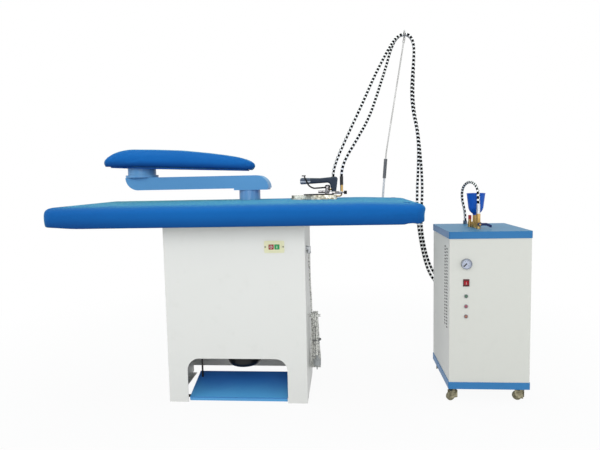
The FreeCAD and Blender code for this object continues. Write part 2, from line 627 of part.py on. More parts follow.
cut("pole_spring_sleeve",
    rod("spring_outer", "spring_radius", 99, *on_pole(227), lean="pole_lean"),
    rod("spring_low_bore", "pole_radius + 0.05", 49, *on_pole(226), lean="pole_lean"),
    rod("spring_high_bore", "rod_radius + 0.05", 80, *on_pole(265), lean="pole_lean"))
rod_foot = V(*[mm(text) for text in on_pole(290)])
rod_bend = V(*[mm(text) for text in on_pole(357)])
ring_centre = V(mm("ring_x"), mm("pole_y"), mm("rod_height"))
ring_foot = ring_centre - V(0, 0, mm("ring_radius"))
rod_aim = V(ring_foot - rod_bend).normalize()
rod_end = ring_foot - rod_aim * 5
shape("pole_rod", bent_rod(mm("rod_radius"), [rod_foot, rod_bend, rod_end]))
ring_loop = Part.makeTorus(mm("ring_radius"), mm("ring_wire"), ring_centre, X_AXIS)
ferrule = Part.makeCylinder(mm("rod_radius") + 2, 26, ring_foot - rod_aim * 25, rod_aim)
ferrule_bore = Part.makeCylinder(mm("rod_radius") + 0.05, 26, ring_foot - rod_aim * 31, rod_aim)
shape("hose_ring", ring_loop.fuse(ferrule).cut(ferrule_bore))

# Iron, nose towards -X
iron = ("iron_x", "iron_y", "board_top")


def sole_outline(sketch, grow):
    """The pointed plan of the sole, inset by a distance."""
    half, heel, nose = "(iron_half - %s)" % grow, "iron_heel - %s" % grow, "6 + %s - iron_length" % grow
    return outline(sketch, [
        (heel, "12 - " + half, 12, 1), (heel, half + " - 12"), (heel + " - 12", half, 12, 1),
        (-60, half), (nose, 8, 240, 1), (nose, -8, 10, 1), (-60, "-" + half, 240, 1),
        (heel + " - 12", "-" + half)])


sole = body("iron_soleplate", *iron)
pad(sole, sole_outline(draw(sole, "XY"), 0), 8)
pad(sole, sole_outline(draw(sole, "XY", 8), 3), 11.5)
shield = body("iron_heat_shield", *iron)
pad(shield, outline(draw(shield, "XY", 19.5), [
    (-8, -34, 10, 1), (-8, 34), (-18, 44, 10, 1), (-70, 44), (-143, 12, 95, 1), (-143, -12, 16, 1),
    (-70, -44, 95, 1), (-18, -44)]), 4.5)

handle = body("iron_handle", *iron)
grip = pad(handle, outline(draw(handle, "XZ"), [
    (-156, 70, 8, 1), (-36, 76), (-23, 64, 14, -1), (-14, 24), (3, 24), (12, 92), (0, 104, 12, 1),
    (-70, 98), (-153, 101), (-164, 90, 11, 1), (-164, 78)]), "handle_width", both=True)
fillet(handle, grip, 8, lambda edge: edge.BoundBox.YLength < 0.01 and edge.BoundBox.ZMin > 25)

valve = body("steam_valve_body", *iron)
valve_turn = draw(valve, "XZ")
bind(valve_turn, "AttachmentOffset.Base.x", -36)
revolve(valve, outline(valve_turn, [
    (0, 24), (14, 24), (14, 30), (11, 33), (11, 50), (13, 52), (13, 60), (6, 66, 8, 1), (0, 66)]))
inlet = circle(draw(valve, "YZ", -80), 6, 0, 34)
pad(valve, inlet, 36)
pad(valve, circle(draw(valve, "XZ"), 7, -36, 42), 20, reverse=True)
pad(valve, circle(draw(valve, "XZ"), 3, -36, 56), 27)
pad(valve, circle(draw(valve, "XZ", 26.2), 5, -36, 56), 2)

lever = body("iron_steam_lever", *iron)
pad(lever, circle(circle(draw(lever, "XZ", 18), 7, -36, 56), 3.05, -36, 56), 8)
pad(lever, outline(draw(lever, "XZ", 19), [
    (-41, 58), (-96, 55), (-128, 82, 40, -1), (-141, 110), (-147, 110), (-134, 80), (-96, 48, 46, 1),
    (-41, 51)]), 6)
pad(lever, rectangle(draw(lever, "XZ", 16.5), 9, 2.5, -145, 110), 11)

needle = fuse(
    "needle_valve",
    rod("needle_barrel", 6, 62, "iron_x - 30", "iron_y - 27", "board_top + 30", "X"),
    block("needle_foot", 18, 12, 6, "iron_x - 30", "iron_y - 33", "board_top + 24"),
    rod("needle_stem", 2.5, 20, "iron_x + 30", "iron_y - 27", "board_top + 30", "X"))
group("iron_steam_valve", valve, needle)
cut("iron_valve_knob",
    rod("knob_blank", 8, 14, "iron_x + 40", "iron_y - 27", "board_top + 30", "X"),
    rod("knob_bore", 2.55, 12, "iron_x + 39", "iron_y - 27", "board_top + 30", "X"))

# Hose fittings at the iron and on the back of the boiler
at_iron = V(mm("iron_x"), mm("iron_y"), mm("board_top"))
at_ring = ring_centre
at_outlet = V(mm("boiler_x"), mm("outlet_y"), mm("outlet_z"))
hose = mm("hose_diameter")
STEAM_END, RETURN_END = at_iron + V(-10, 38, 104), at_iron + V(30, 20, 104)


def iron_fitting(pipe_radius, points, end):
    """A bent brass pipe with a sleeve where the hose begins."""
    pipe = bent_rod(pipe_radius, points)
    return pipe.fuse(Part.makeCylinder(hose / 2 + 1.2, 40, end - V(0, 0, 40)))


steam_pipe = iron_fitting(4.5, [at_iron + V(-36, 20, 42), at_iron + V(-36, 38, 42), at_iron + V(-10, 38, 44),
                                STEAM_END - V(0, 0, 30)], STEAM_END)
return_pipe = iron_fitting(3.4, [at_iron + V(6, 20, 12), at_iron + V(30, 20, 12),
                                 RETURN_END - V(0, 0, 30)], RETURN_END)
return_ferrule = Part.makeCylinder(hose / 2, 34, RETURN_END - V(0, 0, 73))


def outlet_elbow(x):
    """A brass elbow on the boiler's back panel that takes a hose from above."""
    mouth = at_outlet + V(x, 0, 38)
    wall = V(mouth.x, mm("boiler_back - panel_inset"), at_outlet.z)
    elbow = bent_rod(6, [wall, at_outlet + V(x, 0, 0), mouth - V(0, 0, 10)])
    nut = Part.makeCylinder(11, 8, wall, Y_AXIS)
    return elbow.fuse(nut).fuse(Part.makeCylinder(hose / 2 + 1.2, 24, mouth - V(0, 0, 24)))


fittings = Part.makeCompound([steam_pipe, return_pipe.fuse(return_ferrule), outlet_elbow(52),
                              outlet_elbow(87)])
shape("hose_fittings", fittings)

# Hoses: points are offsets from the iron, the ring and the boiler outlets
LEFT_STEAM = [(0, 0, 0), (0, 0, 28), (28, 11, 104), (77, 36, 208), (147, 84, 352), (204, 134, 480)]
LEFT_RETURN = [(0, 0, 0), (0, 0, 30), (21, 4, 86), (72, 31, 168), (138, 91, 281), (186, 147, 416)]
OVER_STEAM = [(-111, -61, -132), (-73, -35, -63), (-39, -8, -15), (-3, -8, 1), (30, -8, -11), (47, -9, -58),
              (45, -11, -120), (37, -14, -200), (31, -18, -300), (38, -24, -385), (56, -31, -470),
              (64, -40, -560), (60, -51, -690), (53, -60, -800)]
OVER_RETURN = [(-95, -40, -165), (-69, -8, -75), (-39, 8, -15), (-3, 8, 1), (31, 8, -11), (49, 7, -58),
               (48, 5, -120), (45, 2, -200), (42, -2, -300), (47, -8, -385), (62, -16, -470),
               (72, -24, -560), (81, -33, -690), (83, -43, -800)]
DOWN_STEAM = [(-55, 85, 453), (-30, 85, 298), (-1, 76, 198), (36, 50, 146), (52, 16, 104), (52, 0, 72),
              (52, 0, 38)]
DOWN_RETURN = [(-38, 103, 453), (-14, 103, 298), (22, 93, 198), (66, 60, 146), (87, 18, 104), (87, 0, 72),
               (87, 0, 38)]
for label, start, left, over, down in (
        ("steam_hose", STEAM_END, LEFT_STEAM, OVER_STEAM, DOWN_STEAM),
        ("return_hose", RETURN_END, LEFT_RETURN, OVER_RETURN, DOWN_RETURN)):
    cord(label, hose, [start + V(*step) for step in left] + [at_ring + V(*step) for step in over] +
         [at_outlet + V(*step) for step in down])

# Mains gland, lead, hank and plug
gland_bore = "lead_diameter / 2 + 0.3"
gland_body = fuse(
    "gland_body",
    rod("gland_spigot", 8, 12, "cabinet_right - 2", "gland_y", "gland_z", "X"),
    rod("gland_flange", 12, 3, "cabinet_right", "gland_y", "gland_z", "X"),
    rod("gland_elbow", 8, 30, "cabinet_right + 10", "gland_y", "gland_z - 22"),
    hexagon("gland_nut", 9, 9, "cabinet_right + 10", "gland_y", "gland_z - 22"))
cut("mains_gland", gland_body,
    rod("gland_low_bore", gland_bore, 22, "cabinet_right + 10", "gland_y", "gland_z - 22"),
    rod("gland_side_bore", gland_bore, 12, "cabinet_right - 2", "gland_y", "gland_z", "X"))

lead = mm("lead_diameter")
side_x, hank_y, half = mm("cabinet_right"), mm("hank_y"), mm("hank_half")
waist, pitch = mm("hank_waist"), mm("hank_pitch")
crest, trough = mm("hank_high") - lead / 2 - half, mm("hank_low") + lead / 2 + half
nest = mm("hank_nest")
LOOPS = 7


def ess(start, end):
    """Two equal arcs from one upright run to another that is set to one side."""
    run = end - start
    shift = V(run.x, run.y, 0)
    aside = V(shift).normalize()
    drop = V(0, 0, 1 if run.z > 0 else -1)
    radius = (run.z ** 2 + shift.Length ** 2) / (4 * shift.Length)
    quarter = math.atan2(shift.Length, abs(run.z))
    bow = drop * radius * math.sin(quarter) + aside * radius * (1 - math.cos(quarter))
    middle = (start + end) / 2
    return [Part.Arc(start, start + bow, middle).toShape(), Part.Arc(middle, end - bow, end).toShape()]


def half_loop(start, end, bulge):
    """Half a turn in two quarter arcs."""
    centre = (start + end) / 2
    radius = (end - start).Length / 2
    out = (start - centre).normalize()
    up = V(0, 0, bulge)
    edges = []
    for first, second in ((out, up), (up, -out)):
        middle = V(first + second).normalize()
        edges.append(Part.Arc(centre + first * radius, centre + middle * radius,
                              centre + second * radius).toShape())
    return edges


def crest_point(turn, side):
    """Over the peg the turns lie close: every second one is nested inside its neighbours."""
    return V(side_x + 14 + turn * pitch / 2, hank_y + side * (half - nest * (turn % 2)), crest)


def waist_point(turn, side):
    return V(side_x + 10.75 + turn * 0.75 * pitch, hank_y + side * (waist - 6.5 * (turn % 2)), mid)


def trough_point(turn, side):
    """Below, the turns are spread to one pitch each."""
    return V(side_x + 7.5 + turn * pitch, hank_y + side * half, trough)


mid = (crest + trough) / 2
hank_begin = crest_point(0, -1)
hank_edges = [Part.makeLine(hank_begin + V(0, 0, lead), hank_begin)]
for turn in range(LOOPS - 1):
    hank_edges += ess(crest_point(turn, -1), waist_point(turn, -1))
    hank_edges += ess(waist_point(turn, -1), trough_point(turn, -1))
    hank_edges += half_loop(trough_point(turn, -1), trough_point(turn, 1), -1)
    hank_edges += ess(trough_point(turn, 1), waist_point(turn + 1, 1) - V(pitch / 2, 0, 0))
    hank_edges += ess(waist_point(turn + 1, 1) - V(pitch / 2, 0, 0), crest_point(turn + 1, 1))
    hank_edges += half_loop(crest_point(turn + 1, 1), crest_point(turn + 1, -1), 1)
tail_end = V(side_x + 36, hank_y - 55, 168)
hank_edges += ess(crest_point(LOOPS - 1, -1), tail_end + V(0, 0, 22))
hank_edges.append(Part.makeLine(tail_end + V(0, 0, 22), tail_end))
hank = sweep(hank_edges, lead / 2)
shape("mains_hank", hank)


def least_self_gap(edges, diameter):
    """The least free space between parts of the cord that are not neighbours along it."""
    spots, along = [], 0
    for edge in edges:
        for spot in edge.discretize(max(3, int(edge.Length / 4))):
            spots.append((along + (spot - edge.Vertexes[0].Point).Length, spot))
        along += edge.Length
    return min((a - b).Length for i, (s, a) in enumerate(spots) for t, b in spots[i + 1:]
               if t - s > 4 * diameter) - diameter


hank_length = sum(edge.Length for edge in hank_edges)
print("mains_hank: length %.0f, volume share %.4f, least self gap %.2f" % (
    hank_length, hank.Volume / (math.pi * lead ** 2 / 4 * hank_length), least_self_gap(hank_edges, lead)))

gland_mouth = V(side_x + 10, mm("gland_y"), mm("gland_z") - 22)
lead_end = hank_begin + V(0, 0, lead)
cord("mains_lead", lead, [
    gland_mouth, gland_mouth + V(0, 0, -38), gland_mouth + V(1, 6, -100), lead_end + V(-1, -10, 102),
    lead_end + V(0, 0, 36), lead_end])

plug = body("mains_plug", "cabinet_right + 36", "hank_y - 55", 168)
revolve(plug, outline(draw(plug, "XZ"), [
    (0, 0), ("lead_diameter / 2 + 1.5", 0), ("lead_diameter / 2 + 2", -14), (13, -20), (17, -24, 4, -1),
    (17, -44),
    (0, -44)]))
pad(plug, circle(circle(draw(plug, "XY", -44), 2.4, 0, -9.5), 2.4, 0, 9.5), 18, reverse=True)

# Boiler cabinet
half_width, half_depth = "boiler_width / 2", "boiler_depth / 2"
boiler_mid = ("boiler_x + boiler_width / 2", "boiler_y + boiler_depth / 2")
base = body("boiler_base_tray", *boiler_mid, "boiler_low")
pad(base, rounded(draw(base, "XY"), half_width, half_depth, 6), "band")
base_room = rectangle(draw(base, "XY", "band"), half_width + " - panel_inset", half_depth + " - panel_inset")
pocket(base, base_room, "band - sheet_gauge")
corners = [(i, j) for j in (-1, 1) for i in (-1, 1)]
for i, j in corners:
    spot = ("%d * (boiler_width / 2 - caster_inset)" % i, "%d * (boiler_depth / 2 - caster_inset)" % j)
    pad(base, circle(draw(base, "XY", "sheet_gauge"), 10, *spot), 16)
    pocket(base, circle(draw(base, "XY", -1), 5.05, *spot), 40, reverse=True)

lid = body("boiler_top_cover", *boiler_mid, "boiler_top")
pad(lid, rounded(draw(lid, "XY"), half_width, half_depth, 6), "band", reverse=True)
lid_room = rectangle(draw(lid, "XY", "-band"), half_width + " - panel_inset", half_depth + " - panel_inset")
pocket(lid, lid_room, "band - sheet_gauge", reverse=True)

panel_low, panel_high = "boiler_low + sheet_gauge", "boiler_top - sheet_gauge"
panel_half = "(boiler_width / 2 - panel_inset)"
face = body("boiler_front_panel", "boiler_x + boiler_width / 2", "panel_face")
pad(face, outline(draw(face, "XZ"), [
    ("-" + panel_half, panel_low), (panel_half, panel_low), (panel_half, panel_high),
    ("-" + panel_half, panel_high)]), gauge, reverse=True)
control_x = "gauge_offset - boiler_width / 2"
pocket(face, circle(draw(face, "XZ"), 17.05, control_x, "gauge_z"))
pocket(face, rectangle(draw(face, "XZ"), 10.6, 13.1, control_x, "rocker_z"))
for lamp in range(3):
    pocket(face, circle(draw(face, "XZ"), 6.05, control_x, "lamp_z - %d * lamp_pitch" % lamp))


def vent_panel(name, x):
    """A side sheet with two staggered columns of vent slots near its front edge."""
    owner = body(name, x, "panel_face + sheet_gauge")
    run = "boiler_depth - 2 * panel_inset - 2 * sheet_gauge"
    pad(owner, outline(draw(owner, "YZ"), [(0, panel_low), (run, panel_low), (run, panel_high),
                                           (0, panel_high)]), gauge)
    for y, z in (("51", "boiler_low + 249"), ("90", "boiler_low + 249 + vent_pitch / 2")):
        hole = pocket(owner, rectangle(draw(owner, "YZ"), 9, 3, y, z))
        row_of(owner, hole, "V_Axis", "25 * vent_pitch", 26)
    return owner


rear = body("rear_sheet", "boiler_x + boiler_width / 2", "boiler_back - panel_inset")
pad(rear, outline(draw(rear, "XZ"), [
    ("-" + panel_half, panel_low), (panel_half, panel_low), (panel_half, panel_high),
    ("-" + panel_half, panel_high)]), gauge)
group("boiler_side_panels", vent_panel("left_vent", "boiler_x + panel_inset"),
      vent_panel("right_vent", "boiler_x + boiler_width - panel_inset - sheet_gauge"), rear)

vessel = body("pressure_vessel", *boiler_mid, "boiler_low + sheet_gauge")
dome, skirt = "vessel_radius - 44", "vessel_radius - 50"
bore, bore_dome = "vessel_radius - vessel_wall", "vessel_radius - 45"
revolve(vessel, outline(draw(vessel, "XZ"), [
    (0, 60), (skirt, 66), (skirt, 0), (dome, 0), (dome, 68), ("vessel_radius", 110, 44, 1),
    ("vessel_radius", "vessel_height - 100"), (dome, "vessel_height - 55", 46, 1),
    (14, "vessel_height - 46"), (14, "vessel_height"), (9, "vessel_height"), (9, "vessel_height - 50"),
    (bore_dome, "vessel_height - 59"), (bore, "vessel_height - 101", 43, -1), (bore, 111),
    (bore_dome, 72, 42, -1), (0, 64)]))

# Casters: a swivel fork with its axle, and a wheel
CASTER_TURNS = {(-1, -1): 200, (1, -1): 150, (-1, 1): 35, (1, 1): 170}
CASTER_NAMES = {(-1, -1): "front_left", (1, -1): "front_right", (-1, 1): "rear_left", (1, 1): "rear_right"}
for corner in corners:
    name, angle = CASTER_NAMES[corner], CASTER_TURNS[corner]
    stem_x = boiler_mid[0] + " + %d * (boiler_width / 2 - caster_inset)" % corner[0]
    stem_y = boiler_mid[1] + " + %d * (boiler_depth / 2 - caster_inset)" % corner[1]
    fork = body("caster_fork_" + name, stem_x, stem_y, 0, Z_AXIS, angle)
    yoke = [(-11, 13), (-9, 13), (-9, 42), (9, 42), (9, 13), (11, 13), (11, 44), (-11, 44)]
    pad(fork, outline(draw(fork, "YZ", -11), yoke), "caster_trail + 18")
    pad(fork, circle(draw(fork, "XY", 44), 9), "boiler_low - 44.5")
    pad(fork, circle(draw(fork, "XY", 44), 5), "boiler_low - 44 + sheet_gauge + 16")
    pad(fork, circle(draw(fork, "XZ"), 3, "caster_trail", "wheel_radius"), 22, both=True)
    wheel = body("caster_wheel_" + name, stem_x + " + caster_trail * cos(%d)" % angle,
                 stem_y + " + caster_trail * sin(%d)" % angle, "wheel_radius", Z_AXIS, angle)
    revolve(wheel, outline(draw(wheel, "XY"), [
        (3.05, -8), ("wheel_radius - 7", -8), ("wheel_radius - 5", -7), ("wheel_radius", -4, 6, 1),
        ("wheel_radius", 4), ("wheel_radius - 5", 7, 6, 1), ("wheel_radius - 7", 8), (3.05, 8)]))

# Gauge, rocker and lamps on the front panel
dial = body("pressure_gauge", "gauge_x", "panel_face", "gauge_z")
revolve(dial, outline(draw(dial, "XY"), [
    (0, 4), (1.25, 4), (1.25, -4), (19.5, -4), (19.5, -10), (22, -10), (22, 0), (17, 0), (17, 22), (0, 22)]))
hand = body("gauge_needle", "gauge_x", "panel_face", "gauge_z")
revolve(hand, outline(draw(hand, "XY"), [
    (0, -7), (2.6, -7), (2.6, -4.8), (1.2, -4.8), (1.2, 3.5), (0, 3.5)]))
pad(hand, outline(draw(hand, "XZ", 5), [(-1.6, 1.6), (-12.4, -9.6), (-9.6, -12.4), (1.6, -1.6)]), 1.2)

frame = cut(
    "rocker_frame",
    fuse("rocker_case",
         block("rocker_bezel", 25, 2.5, 30, "gauge_x - 12.5", "panel_face - 2.5", "rocker_z - 15"),
         block("rocker_body", 21, 22, 26, "gauge_x - 10.5", "panel_face", "rocker_z - 13")),
    rod("rocker_well", 10.7, 18.4, "gauge_x - 9.2", "panel_face + 4", "rocker_z", "X"),
    rod("rocker_pin_hole", 1.55, 20.4, "gauge_x - 10.2", "panel_face + 4", "rocker_z", "X"))
rocker = body("power_rocker", "gauge_x", "panel_face + 4", "rocker_z", X_AXIS, 9)
pad(rocker, outline(draw(rocker, "YZ"), [
    (0, -10.3, 10.3, 1), (6, 0, 9, 1), (0, 10.3, 9, 1), (-8, 6.2, 10.4, 1), (-6.6, 0), (-8, -6.2)]),
    18, both=True)
pad(rocker, circle(draw(rocker, "YZ"), 1.5), 20, both=True)
lamps = []
for lamp in range(3):
    light = body("lamp_%d" % (lamp + 1), "gauge_x", "panel_face", "lamp_z - %d * lamp_pitch" % lamp)
    revolve(light, outline(draw(light, "XY"), [
        (0, -8), (6.5, -3, 7.5, 1), (8, -3), (8, 0), (6, 0), (6, 20), (0, 20)]))
    lamps.append(light)
group("panel_fittings", frame, *lamps)

# Filler funnel, valves and breather on the top
valve_top = "boiler_top + valve_rise"
funnel = body("filler_funnel", "funnel_x", "funnel_y", valve_top)
revolve(funnel, outline(draw(funnel, "XZ"), [
    (7, 0), (13, 0), (13, 5), ("funnel_radius - 7", 32, 40, 1), ("funnel_radius", 91),
    ("funnel_radius + 1.5", 93), ("funnel_radius", 95), ("funnel_radius - 2", 95),
    ("funnel_radius - 9", 33), (10.5, 8, 38, -1), (7, 6)]))
filler = fuse(
    "filler_valve",
    rod("filler_foot", 19, 12, "funnel_x", "funnel_y", "boiler_top"),
    hexagon("filler_nut", 17, 14, "funnel_x", "funnel_y", "boiler_top + 12"),
    rod("filler_neck", 13, "valve_rise - 26", "funnel_x", "funnel_y", "boiler_top + 26"))
tap = fuse(
    "tap_column",
    rod("tap_foot", 10, 12, "tap_x", "tap_y", "boiler_top"),
    hexagon("tap_nut", 13, 16, "tap_x", "tap_y", "boiler_top + 12"),
    rod("tap_neck", 9, 36, "tap_x", "tap_y", "boiler_top + 28"),
    rod("tap_nipple", 7.5, 41, "tap_x", "tap_y", "boiler_top + 64"),
    rod("tap_stem", 4, 24, "tap_x", "tap_y - 32", "boiler_top + 20", "Y"))
relief = fuse(
    "relief_valve",
    rod("relief_foot", 9, 22, "funnel_x - 18", "funnel_y + 30", "boiler_top"),
    rod("relief_cap", 7, 30, "funnel_x - 18", "funnel_y + 30", "boiler_top + 22"))
breather_foot = rod("breather_foot", 9, 16, "breather_x", "breather_y", "boiler_top")
group("boiler_valves", filler, tap, relief, breather_foot)

handle_arm = body("valve_lever", "tap_x", "tap_y", "boiler_top + 20")
pad(handle_arm, circle(circle(draw(handle_arm, "XZ", 21), 8), 4.05), 9)
pad(handle_arm, outline(draw(handle_arm, "XZ", 23), [
    (6, -5), (26, -5), (48, -14), (50, -4), (28, 6), (6, 6)]), 4)
pocket(handle_arm, circle(draw(handle_arm, "XZ"), 4.05))

breather_begin = V(mm("breather_x"), mm("breather_y"), mm("boiler_top") + 16)
breather_end = V(mm("tap_x"), mm("tap_y"), mm("boiler_top") + 105)
cord("breather_hose", mm("breather_diameter"), [
    breather_begin, breather_begin + V(0, 0, 38), breather_begin + V(-16, -1, 100),
    breather_begin + V(-22, -30, 150), breather_begin + V(-16, -85, 180), breather_begin + V(-3, -145, 184),
    breather_end + V(1, 20, 70), breather_end + V(0, 0, 34), breather_end])

# Check every sub-part and write it
NODES = """cabinet_front_panel cabinet_side_panels cabinet_back_panel board_tray board_suction_plate
board_pad board_cover fan_housing fan_motor fan_impeller suction_duct suction_damper pedal_plate
pedal_shaft pedal_link start_stop_switch start_button stop_button arm_pedestal swing_arm
sleeve_stand sleeve_pad pole_socket pole_spring_sleeve pole_rod hose_ring iron_soleplate
iron_heat_shield iron_handle iron_steam_valve iron_steam_lever iron_valve_knob hose_fittings
steam_hose return_hose mains_gland mains_lead mains_hank mains_plug boiler_front_panel
boiler_side_panels boiler_top_cover boiler_base_tray pressure_vessel caster_fork_front_left
caster_fork_front_right caster_fork_rear_left caster_fork_rear_right caster_wheel_front_left
caster_wheel_front_right caster_wheel_rear_left caster_wheel_rear_right pressure_gauge gauge_needle
panel_fittings power_rocker filler_funnel boiler_valves valve_lever breather_hose""".split()

doc.recompute()
for obj in doc.Objects:
    if "Invalid" in obj.State or "Error" in obj.State:
        raise RuntimeError("%s did not recompute" % obj.Label)
os.makedirs("parts", exist_ok=True)
for label in NODES:
    node = doc.getObjectsByLabel(label)[0]
    solid = node.Shape
    if solid.isNull() or not solid.isValid() or not solid.Solids:
        raise RuntimeError("%s is not a valid solid" % label)
    solid.exportStep(os.path.join("parts", label + ".step"))
print("%d sub-parts written" % len(NODES))
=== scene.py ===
# %% [markdown]
# # A steam ironing table, dressed around its packed model
# The packed model brings every hard piece at its real size and place. This lesson gives those pieces their
# paint and metal, and makes what a solid cannot show: cloth, padding, braided hoses and the cable.
# Everything is in metres, with +Z up and the floor at zero.

# %% Load the frame
import math

import bmesh
import bpy
import numpy as np
from mathutils import Matrix, Vector


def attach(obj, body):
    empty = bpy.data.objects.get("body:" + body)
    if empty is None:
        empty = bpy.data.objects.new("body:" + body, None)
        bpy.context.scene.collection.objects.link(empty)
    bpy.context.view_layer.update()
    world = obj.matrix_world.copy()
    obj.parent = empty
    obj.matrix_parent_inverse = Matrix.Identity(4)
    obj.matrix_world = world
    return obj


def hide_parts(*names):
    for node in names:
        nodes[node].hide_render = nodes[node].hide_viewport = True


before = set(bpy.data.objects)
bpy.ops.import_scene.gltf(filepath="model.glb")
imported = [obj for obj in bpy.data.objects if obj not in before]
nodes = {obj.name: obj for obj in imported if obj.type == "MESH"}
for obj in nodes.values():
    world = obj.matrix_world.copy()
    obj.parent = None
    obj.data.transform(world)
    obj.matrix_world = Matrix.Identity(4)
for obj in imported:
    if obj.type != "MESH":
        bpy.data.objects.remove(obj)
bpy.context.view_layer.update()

# %% [markdown]
# ## The camera
# The place and aim were solved from the straight edges of the table and the boiler in the picture: about
# 2 m in front of the board, a little above it, turned a little to the left. A fixed matrix is plainer than a
# look-at helper, because the picture is also turned by a degree about its own centre.

# %% Camera from yaw, pitch and roll
CAMERA_PLACE = Vector((0.233, -2.357, 0.943))
YAW, PITCH, ROLL = (math.radians(angle) for angle in (-4.67, 5.03, -1.20))
PICTURE_WIDTH, FOCAL_PIXELS, SENSOR = 600, 515.4, 36.0

forward = Vector((math.sin(YAW) * math.cos(PITCH), math.cos(YAW) * math.cos(PITCH), -math.sin(PITCH)))
level = Vector((math.cos(YAW), -math.sin(YAW), 0))
upright = level.cross(forward)
right = math.cos(ROLL) * level + math.sin(ROLL) * upright
above = math.cos(ROLL) * upright - math.sin(ROLL) * level
lens = bpy.data.cameras.new("camera")
lens.sensor_width = SENSOR
lens.lens = SENSOR * FOCAL_PIXELS / PICTURE_WIDTH
camera = bpy.data.objects.new("camera", lens)
bpy.context.scene.collection.objects.link(camera)
turned = Matrix((right, above, -forward)).transposed().to_4x4()
camera.matrix_world = Matrix.Translation(CAMERA_PLACE) @ turned
bpy.context.scene.camera = camera
print("lens %.2f mm" % lens.lens)

# %% [markdown]
# ## A small language for finishes
# A finish is a graph of shader nodes. Drawn by hand it is easy to read, but as code it is long, so two small
# classes help. The first, `Tone`, wraps one socket, so that a sum written on it adds its Math node.

# %% Sums on shader sockets


class Tone:
    """One value in a finish: + - * / ** % < > and abs() on it add Math nodes."""

    def __init__(self, finish, socket):
        self.finish, self.socket = finish, socket

    def sum(self, operation, first, second=0.0):
        return self.finish.put("Math", {"operation": operation}, {0: first, 1: second})

    def __add__(self, other):
        return self.sum("ADD", self, other)

    __radd__ = __add__

    def __sub__(self, other):
        return self.sum("SUBTRACT", self, other)

    def __rsub__(self, other):
        return self.sum("SUBTRACT", other, self)

    def __mul__(self, other):
        return self.sum("MULTIPLY", self, other)

    __rmul__ = __mul__

    def __truediv__(self, other):
        return self.sum("DIVIDE", self, other)

    def __pow__(self, other):
        return self.sum("POWER", self, other)

    def __mod__(self, other):
        return self.sum("FLOORED_MODULO", self, other)

    def __abs__(self):
        return self.sum("ABSOLUTE", self)

    def __gt__(self, other):
        return self.sum("GREATER_THAN", self, other)

    def __lt__(self, other):
        return self.sum("LESS_THAN", self, other)

    def near(self, middle, reach):
        """1 within reach of a middle value, and 0 elsewhere."""
        return abs(self - middle) < reach

    def sine(self):
        return self.sum("SINE", self)


print(Tone.__doc__)

# %% [markdown]
# ### Materials under way
# The second class, `Finish`, holds the material itself. One method adds any other node with its settings and
# its sockets, and short methods name the few nodes that nearly every finish needs. The world's light is a
# graph of the same kind, so it can be built with the same class.

# %% Nodes by name


class Finish:
    """A material, or a world, under way. put() adds a node; paint() ends it with a Principled shader."""

    def __init__(self, name, owner=None):
        self.material = owner or bpy.data.materials.new(name)
        self.material.use_nodes = True
        self.tree = self.material.node_tree
        self.tree.nodes.clear()

    def put(self, kind, settings=None, sockets=None, out=0):
        node = self.tree.nodes.new("ShaderNode" + kind)
        for key, value in (settings or {}).items():
            setattr(node, key, value)
        for key, value in (sockets or {}).items():
            if isinstance(value, Tone):
                self.tree.links.new(value.socket, node.inputs[key])
            elif isinstance(value, (tuple, list)) and len(value) == 3 and node.inputs[key].type == "RGBA":
                node.inputs[key].default_value = (*value, 1)
            else:
                node.inputs[key].default_value = value
        return Tone(self, node.outputs[out]) if node.outputs else None

    def place(self):
        """Object coordinates in metres: one vector, and its x, y and z."""
        whole = self.put("TexCoord", out=3)
        return [whole] + [self.put("SeparateXYZ", None, {0: whole}, out=axis) for axis in range(3)]

    def cloth_place(self):
        """The piece's own UV map, and its u and v."""
        whole = self.put("TexCoord", out=2)
        return [whole] + [self.put("SeparateXYZ", None, {0: whole}, out=axis) for axis in range(2)]

    def noise(self, where, scale, detail=2.0, stretch=None):
        if stretch:
            where = self.put("Mapping", None, {0: where, "Scale": stretch})
        return self.put("TexNoise", None, {"Vector": where, "Scale": scale, "Detail": detail})

    def mixed(self, share, first, second):
        return self.put("Mix", {"data_type": "RGBA"}, {0: share, 6: first, 7: second}, out=2)

    def eased(self, value, low, high):
        """0 below low, 1 above high, and a smooth step between."""
        return self.put("MapRange", {"interpolation_type": "SMOOTHSTEP"}, {0: value, 1: low, 2: high})

    def relief(self, height, depth, strength=1.0):
        return self.put("Bump", None, {"Strength": strength, "Distance": depth, "Height": height})

    def paint(self, **looks):
        names = {key: key.replace("_", " ").title().replace("Ior", "IOR") for key in looks}
        shader = self.put("BsdfPrincipled", None, {names[key]: looks[key] for key in looks})
        self.put("OutputMaterial", None, {"Surface": shader})
        return self.material


def dress(finish, *names):
    """Give CAD nodes one material."""
    for name in names:
        nodes[name].data.materials.clear()
        nodes[name].data.materials.append(finish)


print("finish methods:", [name for name in vars(Finish) if not name.startswith("_")])

# %% [markdown]
# ## Stage and light
# The picture is a cut-out on white: hardly any shadow on the floor and flat, soft light from the front and
# above. The floor is near white and fades to plain white with distance, so no horizon shows.

# %% Floor
FLOOR_HALF, FADE_START, FADE_END = 14.0, 0.9, 2.6


def white_ground():
    finish = Finish("stage_white")
    _, x, y, _ = finish.place()
    far = finish.eased((x * x + y * y) ** 0.5, FADE_START, FADE_END)
    seen = finish.put("LightPath", out="Is Camera Ray")
    glossy = finish.put("LightPath", out="Is Glossy Ray")
    share = (seen + glossy) * (0.94 + 0.06 * far)
    matt = finish.put("BsdfDiffuse", None, {"Color": (0.6, 0.6, 0.6)})
    plain = finish.put("Emission", None, {"Color": (1, 1, 1), "Strength": 1.0})
    both = finish.put("MixShader", None, {0: share, 1: matt, 2: plain})
    finish.put("OutputMaterial", None, {"Surface": both})
    return finish.material


